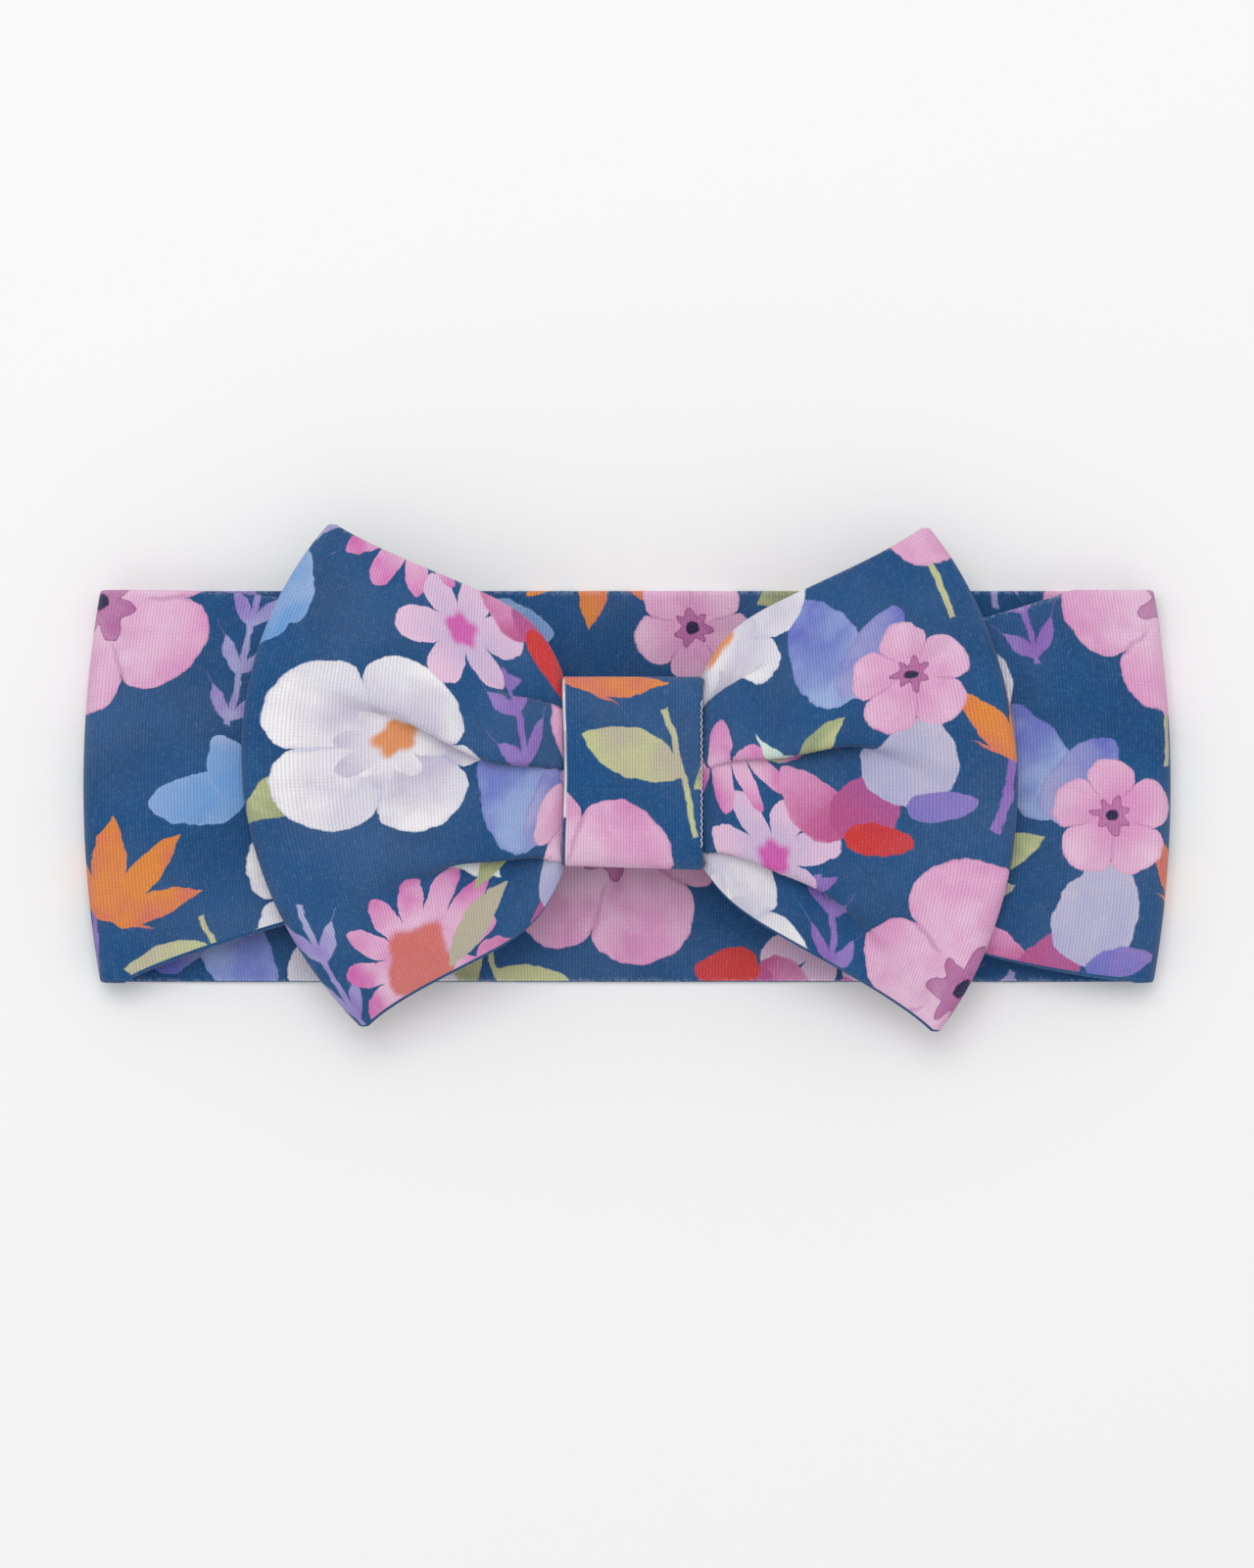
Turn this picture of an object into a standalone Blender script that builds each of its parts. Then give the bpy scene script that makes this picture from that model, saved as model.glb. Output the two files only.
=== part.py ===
"""A baby's jersey head wrap with a flat bow, lying relaxed on a table.

X runs along the band, Y across it and Z up. The origin is under the middle of the whole
object, at the height of the table. All sizes are metres.
"""
import math

import bmesh
import bpy

# --- Driving sizes -------------------------------------------------------------------------

CLOTH = 0.0012            # thickness of the doubled jersey of the band and the bow
WRAP_CLOTH = 0.0010       # thickness of the doubled jersey of the centre wrap
FIT = 0.0003              # gap left between pieces that touch

BAND_LENGTH = 0.1780      # across both side folds, with the band lying flat
BAND_HEIGHT = 0.0643      # width of the band's cloth
BAND_CENTRE_Y = -0.0013   # the band's middle line
SIDE_BOW = 0.0027         # how much the side folds bulge at mid height
SIDE_FOLD_RISE = 0.0076   # height of a side fold, from the table to its top
HEAD_GAP = 0.0060         # clear height between the back layer and the centre wrap
FLARE_LENGTH = 0.0600     # stretch over which the front layer opens out from the wrap

WRAP_WIDTH = 0.0225       # size of the centre wrap along X
WRAP_HEIGHT = 0.0310      # size of the centre wrap along Y
WRAP_CENTRE_X = 0.0009
WRAP_CENTRE_Y = 0.0010
WRAP_CORNER = 0.0026      # outer radius where the wrap turns over

WAIST_THICKNESS = 0.0026  # the front layer where it is gathered
BOW_GATHER = 0.0060       # thickness of the bow's gathered middle
WAIST_SLACK = 0.0007      # room at each end of the wrap for the gathers' round edges

BOW_LENGTH = 0.1265       # across both loops
BOW_HEIGHT = 0.0826       # across the corners of a loop
LOOP_BULGE = 0.0150       # how far a loop's outer fold bows out past its corners
LOOP_RISE = 0.0052        # height of a loop at its outer fold
LOOP_DIP = 0.0022         # how far a loop's upper and lower edges hang in
LOOP_CLEARANCE = 0.0006   # gap between a loop's outer fold and the front layer under it

THREAD = 0.0004           # diameter of the sewing thread
STITCH = 0.0026           # length of one stitch
EDGE_STITCH = 0.0016      # length of one stitch along the wrap's edge

# --- Levels that follow from the sizes above -------------------------------------------------

BACK_TOP = CLOTH
THREAD_ROOM = FIT + THREAD + FIT
WRAP_LOW = BACK_TOP + HEAD_GAP
WAIST_LOW = WRAP_LOW + WRAP_CLOTH + THREAD_ROOM
WAIST_TOP = WAIST_LOW + WAIST_THICKNESS
BOW_LOW = WAIST_TOP + THREAD_ROOM
BOW_TOP = BOW_LOW + BOW_GATHER
WRAP_HIGH = BOW_TOP + THREAD_ROOM + WRAP_CLOTH

FRONT_LEVEL = (WAIST_LOW + WAIST_TOP) / 2
SIDE_LEVEL = SIDE_FOLD_RISE - CLOTH / 2
BACK_LEVEL = CLOTH / 2
FOLD_RADIUS = (SIDE_LEVEL - BACK_LEVEL) / 2
SIDE_X = BAND_LENGTH / 2 - CLOTH / 2 - FOLD_RADIUS

GATHER_HALF_Y = WRAP_HEIGHT / 2 - WRAP_CLOTH - FIT - WAIST_SLACK
WRAP_HALF_X = WRAP_WIDTH / 2
LOOP_INNER_X = WRAP_HALF_X + THREAD_ROOM
LOOP_LOW_LEVEL = BOW_LOW + CLOTH / 2
LOOP_HIGH_LEVEL = BOW_TOP - CLOTH / 2
LOOP_FOLD_RADIUS = (LOOP_RISE - CLOTH) / 2
LOOP_FOLD_X = BOW_LENGTH / 2 - CLOTH / 2 - LOOP_FOLD_RADIUS

CLOTH_COLOUR = (0.014, 0.080, 0.180, 1.0)
BOW_COLOUR = (0.018, 0.092, 0.200, 1.0)
WRAP_COLOUR = (0.022, 0.100, 0.220, 1.0)
THREAD_COLOUR = (0.560, 0.570, 0.600, 1.0)


# --- Helpers ---------------------------------------------------------------------------------

def clear_scene():
    """Remove what the scene holds."""
    for old in list(bpy.data.objects):
        bpy.data.objects.remove(old, do_unlink=True)


def part_collection():
    """The collection that holds every sub-part."""
    collection = bpy.data.collections.new("bow_headband")
    bpy.context.scene.collection.children.link(collection)
    return collection


def material(name, colour, roughness):
    """A plain cloth or thread material."""
    made = bpy.data.materials.new(name)
    made.use_nodes = True
    shader = made.node_tree.nodes["Principled BSDF"]
    shader.inputs["Base Color"].default_value = colour
    shader.inputs["Roughness"].default_value = roughness
    shader.inputs["Metallic"].default_value = 0.0
    made.diffuse_color = colour
    return made


def blend_between(low, high, share):
    """The value a share of the way from low to high."""
    return low + (high - low) * share


def eased(share):
    """A share that starts and ends gently."""
    held = min(1.0, max(0.0, share))
    return held * held * (3 - 2 * held)


def band_half_length(height_share):
    """Half of the straight part of a layer, at a share -1 to 1 of the band's half height."""
    return SIDE_X - SIDE_BOW * height_share * height_share


def add_object(name, mesh, surface, collection, pivot=(0.0, 0.0, 0.0)):
    """A named object, whose origin is its pivot."""
    for corner in mesh.vertices:
        corner.co.x -= pivot[0]
        corner.co.y -= pivot[1]
        corner.co.z -= pivot[2]
    made = bpy.data.objects.new(name, mesh)
    made.location = pivot
    made.data.materials.append(surface)
    collection.objects.link(made)
    return made


def sheet_mesh(name, along, across, place):
    """A grid of along by across faces, each corner moved to place(u, v), u and v from -1 to 1."""
    shape = bmesh.new()
    bmesh.ops.create_grid(shape, x_segments=along, y_segments=across, size=1.0)
    for corner in shape.verts:
        corner.co = place(corner.co.x, corner.co.y)
    mesh = bpy.data.meshes.new(name)
    shape.to_mesh(mesh)
    shape.free()
    mesh.shade_smooth()
    return mesh


def thicken(made, thickness):
    """Give an open sheet its thickness, evenly on both sides."""
    solid = made.modifiers.new("thickness", "SOLIDIFY")
    solid.thickness = thickness
    solid.offset = 0.0
    solid.use_even_offset = True


def thread(name, points, surface, collection):
    """A sewing thread along the points."""
    curve = bpy.data.curves.new(name, "CURVE")
    curve.dimensions = "3D"
    curve.bevel_depth = THREAD / 2
    curve.bevel_resolution = 1
    curve.use_fill_caps = True
    line = curve.splines.new("POLY")
    line.points.add(len(points) - 1)
    for corner, (x, y, z) in zip(line.points, points):
        corner.co = (x, y, z, 1.0)
    made = bpy.data.objects.new(name, curve)
    curve.materials.append(surface)
    collection.objects.link(made)
    return made


# --- The band --------------------------------------------------------------------------------

def build_band_back(surface, collection):
    """The layer that lies on the table, between the two side folds."""
    half_height = BAND_HEIGHT / 2

    def place(u, v):
        return (u * (band_half_length(v) - FIT / 2), BAND_CENTRE_Y + v * half_height, BACK_LEVEL)

    mesh = sheet_mesh("band_back", 12, 8, place)
    made = add_object("band_back", mesh, surface, collection)
    thicken(made, CLOTH)
    return made


def build_side_fold(side, name, surface, collection):
    """The half-round turn from the back layer up to the front layer, at side -1 or 1."""
    half_height = BAND_HEIGHT / 2
    middle = (BACK_LEVEL + SIDE_LEVEL) / 2

    def place(u, v):
        turn = u * math.pi / 2
        reach = band_half_length(v) + FIT / 2 + FOLD_RADIUS * math.cos(turn)
        return (side * reach, BAND_CENTRE_Y + side * v * half_height,
                middle + FOLD_RADIUS * math.sin(turn))

    mesh = sheet_mesh(name, 12, 8, place)
    made = add_object(name, mesh, surface, collection)
    thicken(made, CLOTH)
    return made


def front_outline(x, height_share):
    """Y of the front layer at a distance from the wrap and a share of its half height."""
    spread = min(1.0, max(0.0, abs(x - WRAP_CENTRE_X) - WRAP_HALF_X) / FLARE_LENGTH)
    centre = blend_between(WRAP_CENTRE_Y, BAND_CENTRE_Y, spread)
    half = blend_between(GATHER_HALF_Y, BAND_HEIGHT / 2, spread)
    return centre + height_share * half


def front_level(x):
    """Height of the front layer's middle, which sinks from the wrap to the side folds."""
    reach = abs(x - WRAP_CENTRE_X) - WRAP_HALF_X
    return blend_between(FRONT_LEVEL, SIDE_LEVEL, eased(reach / (SIDE_X - WRAP_WIDTH)))


def build_band_front_wing(side, name, surface, collection):
    """The front layer between the wrap and one side fold, which narrows to the gathers."""
    inner = WRAP_CENTRE_X + side * (WRAP_HALF_X + FIT)

    def place(u, v):
        outer = side * (band_half_length(v) - FIT / 2)
        x = blend_between(inner, outer, (u + 1) / 2)
        return (x, front_outline(x, side * v), front_level(x))

    mesh = sheet_mesh(name, 24, 8, place)
    made = add_object(name, mesh, surface, collection)
    thicken(made, CLOTH)
    return made


def gather_block(name, low, high, surface, collection):
    """Gathered cloth inside the wrap: a slab with round edges, from level low to high."""
    shape = bmesh.new()
    bmesh.ops.create_cube(shape, size=1.0)
    for corner in shape.verts:
        corner.co.x = WRAP_CENTRE_X + corner.co.x * WRAP_WIDTH
        corner.co.y = WRAP_CENTRE_Y + corner.co.y * 2 * GATHER_HALF_Y
        corner.co.z = blend_between(low, high, corner.co.z + 0.5)
    long_edges = [edge for edge in shape.edges
                  if abs(edge.verts[0].co.x - edge.verts[1].co.x) > WRAP_HALF_X]
    bmesh.ops.bevel(shape, geom=long_edges, offset=WAIST_SLACK, offset_type="OFFSET", segments=3,
                    profile=0.5, affect="EDGES", clamp_overlap=True)
    mesh = bpy.data.meshes.new(name)
    shape.to_mesh(mesh)
    shape.free()
    return add_object(name, mesh, surface, collection)


# --- The bow ---------------------------------------------------------------------------------

def loop_outline(reach_share, height_share):
    """Distance along X and Y of a loop's flat outline: 0 at the wrap, 1 at the outer fold."""
    corner_x = LOOP_FOLD_X - LOOP_BULGE
    half = blend_between(GATHER_HALF_Y, BOW_HEIGHT / 2, reach_share)
    half -= LOOP_DIP * math.sin(math.pi * reach_share)
    centre = blend_between(WRAP_CENTRE_Y, 0.0, reach_share)
    x = blend_between(LOOP_INNER_X, corner_x, reach_share)
    x += LOOP_BULGE * reach_share * reach_share * (1 - height_share * height_share)
    return x, centre + height_share * half


def loop_low_level(x, reach_share):
    """Height of a loop's lower layer, which sinks from the wrap to rest near the front layer."""
    above = blend_between(LOOP_LOW_LEVEL - FRONT_LEVEL, CLOTH + LOOP_CLEARANCE, reach_share)
    return front_level(WRAP_CENTRE_X + x) + above


def build_loop(side, name, surface, collection):
    """One loop of the bow: a strip out along the band, round its fold and back to the wrap."""
    low_share = 0.40
    high_share = 0.60
    pivot = (WRAP_CENTRE_X + side * LOOP_INNER_X, 0.0, BOW_TOP)

    def place(u, v):
        run = (u + 1) / 2
        reach = min(1.0, run / low_share, (1 - run) / (1 - high_share))
        x, y = loop_outline(reach, side * v)
        low = loop_low_level(x, reach)
        gap = blend_between(LOOP_HIGH_LEVEL - LOOP_LOW_LEVEL, 2 * LOOP_FOLD_RADIUS, reach)
        lift = 0.0
        if run > high_share:
            lift = gap
        elif run > low_share:
            turn = math.pi * (run - low_share) / (high_share - low_share)
            x += LOOP_FOLD_RADIUS * math.sin(turn)
            lift = LOOP_FOLD_RADIUS * (1 - math.cos(turn))
        return (side * x + WRAP_CENTRE_X * (1 - reach), y, low + lift)

    mesh = sheet_mesh(name, 40, 12, place)
    made = add_object(name, mesh, surface, collection, pivot)
    thicken(made, CLOTH)
    return made


# --- The centre wrap -------------------------------------------------------------------------

def wrap_section(height, low, high, corner, arc_faces):
    """Points round a rectangle with round corners, in Y and Z about the wrap's middle line."""
    half = height / 2
    points = []
    corners = ((half - corner, high - corner, 0.0), (corner - half, high - corner, 90.0),
               (corner - half, low + corner, 180.0), (half - corner, low + corner, 270.0))
    for y, z, start in corners:
        for step in range(arc_faces + 1):
            turn = math.radians(start + 90.0 * step / arc_faces)
            points.append((WRAP_CENTRE_Y + y + corner * math.cos(turn),
                           z + corner * math.sin(turn)))
    return points


def build_wrap(surface, collection):
    """The strip round the bow and the front layer, drawn as a closed ring."""
    curve = bpy.data.curves.new("centre_wrap_outline", "CURVE")
    curve.dimensions = "2D"
    curve.fill_mode = "BOTH"
    curve.extrude = WRAP_HALF_X
    outer = wrap_section(WRAP_HEIGHT, WRAP_LOW, WRAP_HIGH, WRAP_CORNER, 6)
    inner = wrap_section(WRAP_HEIGHT - 2 * WRAP_CLOTH, WRAP_LOW + WRAP_CLOTH,
                         WRAP_HIGH - WRAP_CLOTH, WRAP_CORNER - WRAP_CLOTH, 6)
    for ring in (outer, inner):
        line = curve.splines.new("POLY")
        line.points.add(len(ring) - 1)
        for corner, (y, z) in zip(line.points, ring):
            corner.co = (y, z, 0.0, 1.0)
        line.use_cyclic_u = True
    drawn = bpy.data.objects.new("centre_wrap_outline", curve)
    collection.objects.link(drawn)
    bpy.context.view_layer.update()
    mesh = bpy.data.meshes.new_from_object(drawn.evaluated_get(bpy.context.evaluated_depsgraph_get()))
    bpy.data.objects.remove(drawn, do_unlink=True)
    shape = bmesh.new()
    shape.from_mesh(mesh)
    bmesh.ops.remove_doubles(shape, verts=shape.verts[:], dist=0.00001)
    for corner in shape.verts:
        y, z, x = corner.co
        corner.co = (WRAP_CENTRE_X + x, y, z)
    bmesh.ops.recalc_face_normals(shape, faces=shape.faces[:])
    shape.to_mesh(mesh)
    shape.free()
    mesh.name = "centre_wrap"
    return add_object("centre_wrap", mesh, surface, collection)


# --- The threads -----------------------------------------------------------------------------

def zigzag(start, step, swing, count):
    """Points that run from start along step, swinging to each side in turn."""
    points = []
    for index in range(count + 1):
        way = 1 if index % 2 else -1
        points.append(tuple(start[axis] + step[axis] * index + swing[axis] * way
                            for axis in range(3)))
    return points


def build_cross_seams(surface, collection):
    """The seams that run across the band: the band's ends, the bow's ends and the bow's pleats."""
    count = int(2 * (GATHER_HALF_Y - STITCH / 2) / STITCH)
    start_y = WRAP_CENTRE_Y - count * STITCH / 2
    levels = {"band_end_seam": WAIST_LOW - FIT - THREAD / 2,
              "bow_end_seam": BOW_LOW - FIT - THREAD / 2,
              "bow_pleat_seam": BOW_TOP + FIT + THREAD / 2}
    for name, level in levels.items():
        points = zigzag((WRAP_CENTRE_X, start_y, level), (0.0, STITCH, 0.0),
                        (STITCH / 3, 0.0, 0.0), count)
        thread(name, points, surface, collection)


def build_wrap_stitches(surface, collection):
    """The stitches that close the wrap underneath, and the fine row down its right edge."""
    closing_level = WRAP_LOW - FIT - THREAD / 2
    closing_count = int((WRAP_WIDTH - STITCH) / STITCH)
    start_x = WRAP_CENTRE_X - closing_count * STITCH / 2
    points = zigzag((start_x, WRAP_CENTRE_Y, closing_level), (STITCH, 0.0, 0.0),
                    (0.0, STITCH / 3, 0.0), closing_count)
    thread("wrap_closing_stitches", points, surface, collection)
    edge_x = WRAP_CENTRE_X + WRAP_HALF_X + FIT + THREAD / 2
    edge_level = WRAP_HIGH - WRAP_CLOTH / 2
    edge_count = int((WRAP_HEIGHT - 2 * WRAP_CORNER) / EDGE_STITCH)
    start_y = WRAP_CENTRE_Y - edge_count * EDGE_STITCH / 2
    points = zigzag((edge_x, start_y, edge_level), (0.0, EDGE_STITCH, 0.0),
                    (0.0, 0.0, THREAD / 2), edge_count)
    thread("wrap_edge_stitches", points, surface, collection)


# --- Assembly --------------------------------------------------------------------------------

def main():
    """Build every sub-part."""
    clear_scene()
    collection = part_collection()
    band_cloth = material("band_jersey", CLOTH_COLOUR, 0.85)
    bow_cloth = material("bow_jersey", BOW_COLOUR, 0.85)
    wrap_cloth = material("wrap_jersey", WRAP_COLOUR, 0.85)
    sewing = material("sewing_thread", THREAD_COLOUR, 0.60)

    build_band_back(band_cloth, collection)
    for side, word in ((-1, "left"), (1, "right")):
        build_side_fold(side, "side_fold_" + word, band_cloth, collection)
        build_band_front_wing(side, "band_front_" + word, band_cloth, collection)
        build_loop(side, "bow_loop_" + word, bow_cloth, collection)
    gather_block("band_gathers", WAIST_LOW, WAIST_TOP, band_cloth, collection)
    gather_block("bow_gathers", BOW_LOW, BOW_TOP, bow_cloth, collection)
    build_wrap(wrap_cloth, collection)
    build_cross_seams(sewing, collection)
    build_wrap_stitches(sewing, collection)


main()
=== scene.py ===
"""A baby's jersey head wrap with a flat bow: its finished cloth, print and light.

The band, the bow's two loops and the centre wrap are doubled strips of printed jersey. Each is
laid along a middle sheet that its class works out, then given its two plies and its turned edges.
Lengths inside the classes are millimetres, and meshes are written in metres.
"""
import logging
import math
from dataclasses import dataclass, fields, replace
from enum import Enum
from typing import Any, Callable, Sequence

import bmesh
import bpy
import numpy as np
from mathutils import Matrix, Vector


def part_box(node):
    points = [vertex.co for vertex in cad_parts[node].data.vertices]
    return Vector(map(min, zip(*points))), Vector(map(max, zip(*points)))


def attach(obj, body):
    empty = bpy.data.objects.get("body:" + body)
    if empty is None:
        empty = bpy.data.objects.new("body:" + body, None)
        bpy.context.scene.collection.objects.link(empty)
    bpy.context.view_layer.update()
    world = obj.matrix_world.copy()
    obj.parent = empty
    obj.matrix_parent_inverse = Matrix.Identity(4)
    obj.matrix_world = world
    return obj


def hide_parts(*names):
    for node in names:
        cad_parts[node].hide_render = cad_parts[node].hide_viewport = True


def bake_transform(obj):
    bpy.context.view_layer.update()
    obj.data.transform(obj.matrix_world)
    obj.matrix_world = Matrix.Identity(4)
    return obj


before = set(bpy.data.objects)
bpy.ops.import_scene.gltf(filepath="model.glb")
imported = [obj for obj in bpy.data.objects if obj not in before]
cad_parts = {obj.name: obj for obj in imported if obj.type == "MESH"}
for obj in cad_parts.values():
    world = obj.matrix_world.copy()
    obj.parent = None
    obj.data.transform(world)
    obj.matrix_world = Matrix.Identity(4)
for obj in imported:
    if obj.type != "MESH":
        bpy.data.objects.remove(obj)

LOG = logging.getLogger("bow_headband")
MM = 0.001
CLOTH_UV = "cloth"
# The print's repeat along and across the roll, in millimetres, and how many lie each way of a start.
REPEAT = (90.4, 88.0)
REPEATS_ROUND = 4
# How far a motif reaches, as a share of its size.
SPILL = 1.15
# Round the cloth, in half widths: where the last turned edge begins, and a place past its end.
LAST_EDGE = 3.02
FAR_END = 3.1
# The least length of a direction, and the distance in metres below which two points are one.
LEAST_LENGTH = 1e-9
SAME_POINT = 1e-6

Colour = tuple[float, float, float, float]
Place = tuple[float, float]
BLACK: Colour = (0.0, 0.0, 0.0, 1.0)


# --- Colours --------------------------------------------------------------------------------------

class Dye(Enum):
    """The dyes of the print, as web colours."""

    BLUE = "1b568d"
    DEEP_BLUE = "1a5084"
    INK = "2b2350"
    ROSE = "eba2d2"
    PALE_ROSE = "f6cde8"
    HOT_ROSE = "d957b4"
    PLUM = "b45f9f"
    MAGENTA = "c4558f"
    CRIMSON = "cf3d4c"
    SCARLET = "dc3c38"
    CORAL = "df7468"
    ORANGE = "ee9040"
    LILAC = "9a83cd"
    PURPLE = "9466c0"
    LAVENDER = "b4b4e0"
    MALLOW = "d8c0e2"
    PERIWINKLE = "6a74cd"
    SKY = "5f9fe0"
    PALE_SKY = "a9c0ea"
    MINT = "cfe8dc"
    LIME = "cdd19c"
    OLIVE = "98a37c"
    SAND = "c6bda6"
    STONE = "b6b6b0"
    PEARL = "d2cce2"
    WHITE = "fffdff"

    def linear(self, strength: float = 1.0) -> Colour:
        """Work out the dye's linear colour.

        Args:
            strength: what the colour is multiplied by.

        Returns:
            Red, green, blue and alpha.
        """
        parts = [int(self.value[place:place + 2], 16) / 255 for place in (0, 2, 4)]
        light = [part / 12.92 if part < 0.04045 else ((part + 0.055) / 1.055) ** 2.4 for part in parts]
        return tuple(strength * part for part in light) + (1.0,)


# --- Shader building ------------------------------------------------------------------------------

class Value:
    """A shader socket that can be added, scaled and compared like a number."""

    def __init__(self, shop: "Shop", socket: Any) -> None:
        """Wrap a socket of the shop's node tree."""
        self.shop = shop
        self.socket = socket

    def _math(self, operation: str, *others: Any) -> "Value":
        """Add a Math node with this value first.

        Args:
            operation: the Math node's operation.
            others: numbers or values for its other sockets.

        Returns:
            The node's result.
        """
        inputs = {0: self}
        inputs.update({place + 1: other for place, other in enumerate(others)})
        return self.shop.value("ShaderNodeMath", {"operation": operation}, inputs)

    def __add__(self, other: Any) -> "Value":
        """Sum."""
        return self._math("ADD", other)

    __radd__ = __add__

    def __sub__(self, other: Any) -> "Value":
        """Difference."""
        return self._math("SUBTRACT", other)

    def __rsub__(self, other: Any) -> "Value":
        """Difference from a number."""
        return self.shop.value("ShaderNodeMath", {"operation": "SUBTRACT"}, {0: other, 1: self})

    def __mul__(self, other: Any) -> "Value":
        """Product."""
        return self._math("MULTIPLY", other)

    __rmul__ = __mul__

    def __truediv__(self, other: Any) -> "Value":
        """Quotient."""
        return self._math("DIVIDE", other)

    def __pow__(self, other: Any) -> "Value":
        """Power."""
        return self._math("POWER", other)

    def size(self) -> "Value":
        """Absolute value."""
        return self._math("ABSOLUTE")

    def sine(self) -> "Value":
        """Sine."""
        return self._math("SINE")

    def cosine(self) -> "Value":
        """Cosine."""
        return self._math("COSINE")

    def part(self) -> "Value":
        """Fractional part."""
        return self._math("FRACT")

    def turn(self, other: "Value") -> "Value":
        """Angle of the direction whose rise is this value and whose run is the other."""
        return self._math("ARCTAN2", other)

    def least(self, other: Any) -> "Value":
        """Lesser of two."""
        return self._math("MINIMUM", other)

    def most(self, other: Any) -> "Value":
        """Greater of two."""
        return self._math("MAXIMUM", other)

    def held(self) -> "Value":
        """This value kept between 0 and 1."""
        return self.most(0.0).least(1.0)

    def step(self, low: float, high: float) -> "Value":
        """Rise smoothly from 0 at low to 1 at high.

        Args:
            low: where the rise starts.
            high: where it ends, which may be less than low.

        Returns:
            A value from 0 to 1.
        """
        return self.shop.value("ShaderNodeMapRange", {"interpolation_type": "SMOOTHSTEP"},
                               {"Value": self, "From Min": low, "From Max": high})


class Shop:
    """Makes nodes in one material's tree."""

    def __init__(self, tree: Any) -> None:
        """Work in a node tree."""
        self.tree = tree

    def node(self, kind: str, settings: dict[str, Any], inputs: dict[Any, Any]) -> Any:
        """Make a node, set it and feed it.

        Args:
            kind: the node's type.
            settings: its properties.
            inputs: a number, colour, Value or socket for each named or numbered socket.

        Returns:
            The node.
        """
        made = self.tree.nodes.new(kind)
        for name, setting in settings.items():
            setattr(made, name, setting)
        for key, given in inputs.items():
            socket = made.inputs[key]
            if isinstance(given, Value):
                self.tree.links.new(given.socket, socket)
            elif isinstance(given, bpy.types.NodeSocket):
                self.tree.links.new(given, socket)
            else:
                socket.default_value = given
        return made

    def value(self, kind: str, settings: dict[str, Any], inputs: dict[Any, Any]) -> Value:
        """Make a node and wrap its first output.

        Args:
            kind: the node's type.
            settings: its properties.
            inputs: what feeds its sockets.

        Returns:
            The wrapped output.
        """
        return Value(self, self.node(kind, settings, inputs).outputs[0])

    def mix(self, share: Any, first: Any, second: Any, blend: str = "MIX") -> Any:
        """Mix two colours.

        Args:
            share: how much of the second shows.
            first: the colour underneath.
            second: the colour on top.
            blend: the Mix node's blend type.

        Returns:
            The mixed colour's socket.
        """
        made = self.node("ShaderNodeMix", {"data_type": "RGBA", "blend_type": blend},
                         {0: share, 6: first, 7: second})
        return made.outputs[2]

    def noise(self, place: Any, wave: float, detail: float = 2.0, seed: float = 0.0) -> Any:
        """Make a noise node.

        Args:
            place: where it is read.
            wave: the length of its waves, in the units of place.
            detail: how many finer layers it has.
            seed: which slice of the noise is read.

        Returns:
            The noise node.
        """
        return self.node("ShaderNodeTexNoise", {"noise_dimensions": "4D"},
                         {"Vector": place, "Scale": 1.0 / wave, "Detail": detail, "W": seed})

    def cloud(self, place: Any, wave: float, detail: float, seed: float) -> Value:
        """Wrap the strength of a noise, which takes what a noise node takes."""
        return Value(self, self.noise(place, wave, detail, seed).outputs[0])

    def local(self, place: Any, centre: Place, turn: float) -> Any:
        """Read a place from a motif's own centre, along its own axes.

        Args:
            place: the place on the cloth.
            centre: the motif's centre.
            turn: its turn in degrees.

        Returns:
            The vector's socket.
        """
        made = self.node("ShaderNodeMapping", {"vector_type": "TEXTURE"},
                         {"Vector": place, "Location": (centre[0], centre[1], 0.0),
                          "Rotation": (0.0, 0.0, math.radians(turn))})
        return made.outputs[0]

    def axes(self, vector: Any) -> tuple[Value, Value]:
        """Split a vector.

        Args:
            vector: its socket.

        Returns:
            Its x and its y.
        """
        made = self.node("ShaderNodeSeparateXYZ", {}, {0: vector})
        return Value(self, made.outputs[0]), Value(self, made.outputs[1])

    def length(self, vector: Any) -> Value:
        """Length of a vector."""
        made = self.node("ShaderNodeVectorMath", {"operation": "LENGTH"}, {0: vector})
        return Value(self, made.outputs["Value"])

    def surface(self, colour: Any, relief: float, height: Value) -> None:
        """Feed the shader its colour and its bumps.

        Args:
            colour: the colour's socket.
            relief: depth of the bumps, in metres.
            height: their height as a share of that.
        """
        shader = self.tree.nodes["Principled BSDF"]
        bump = self.node("ShaderNodeBump", {}, {"Strength": 1.0, "Distance": relief, "Height": height})
        self.tree.links.new(colour, shader.inputs["Base Color"])
        self.tree.links.new(bump.outputs[0], shader.inputs["Normal"])


def new_finish(name: str, amounts: dict[str, Any]) -> tuple[bpy.types.Material, Shop]:
    """Start a material.

    Args:
        name: its name.
        amounts: what its shader's own sockets hold all over the surface.

    Returns:
        The material and its nodes.
    """
    made = bpy.data.materials.new(name)
    made.use_nodes = True
    shader = made.node_tree.nodes["Principled BSDF"]
    for socket, amount in amounts.items():
        shader.inputs[socket].default_value = amount
    return made, Shop(made.node_tree)


def placed(name: str, data: Any) -> bpy.types.Object:
    """Put a mesh, curve, lamp or camera into the scene.

    Args:
        name: the object's name.
        data: what it shows.

    Returns:
        The object, at the origin.
    """
    made = bpy.data.objects.new(name, data)
    bpy.context.scene.collection.objects.link(made)
    return made


# --- The print's motifs ---------------------------------------------------------------------------

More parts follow.
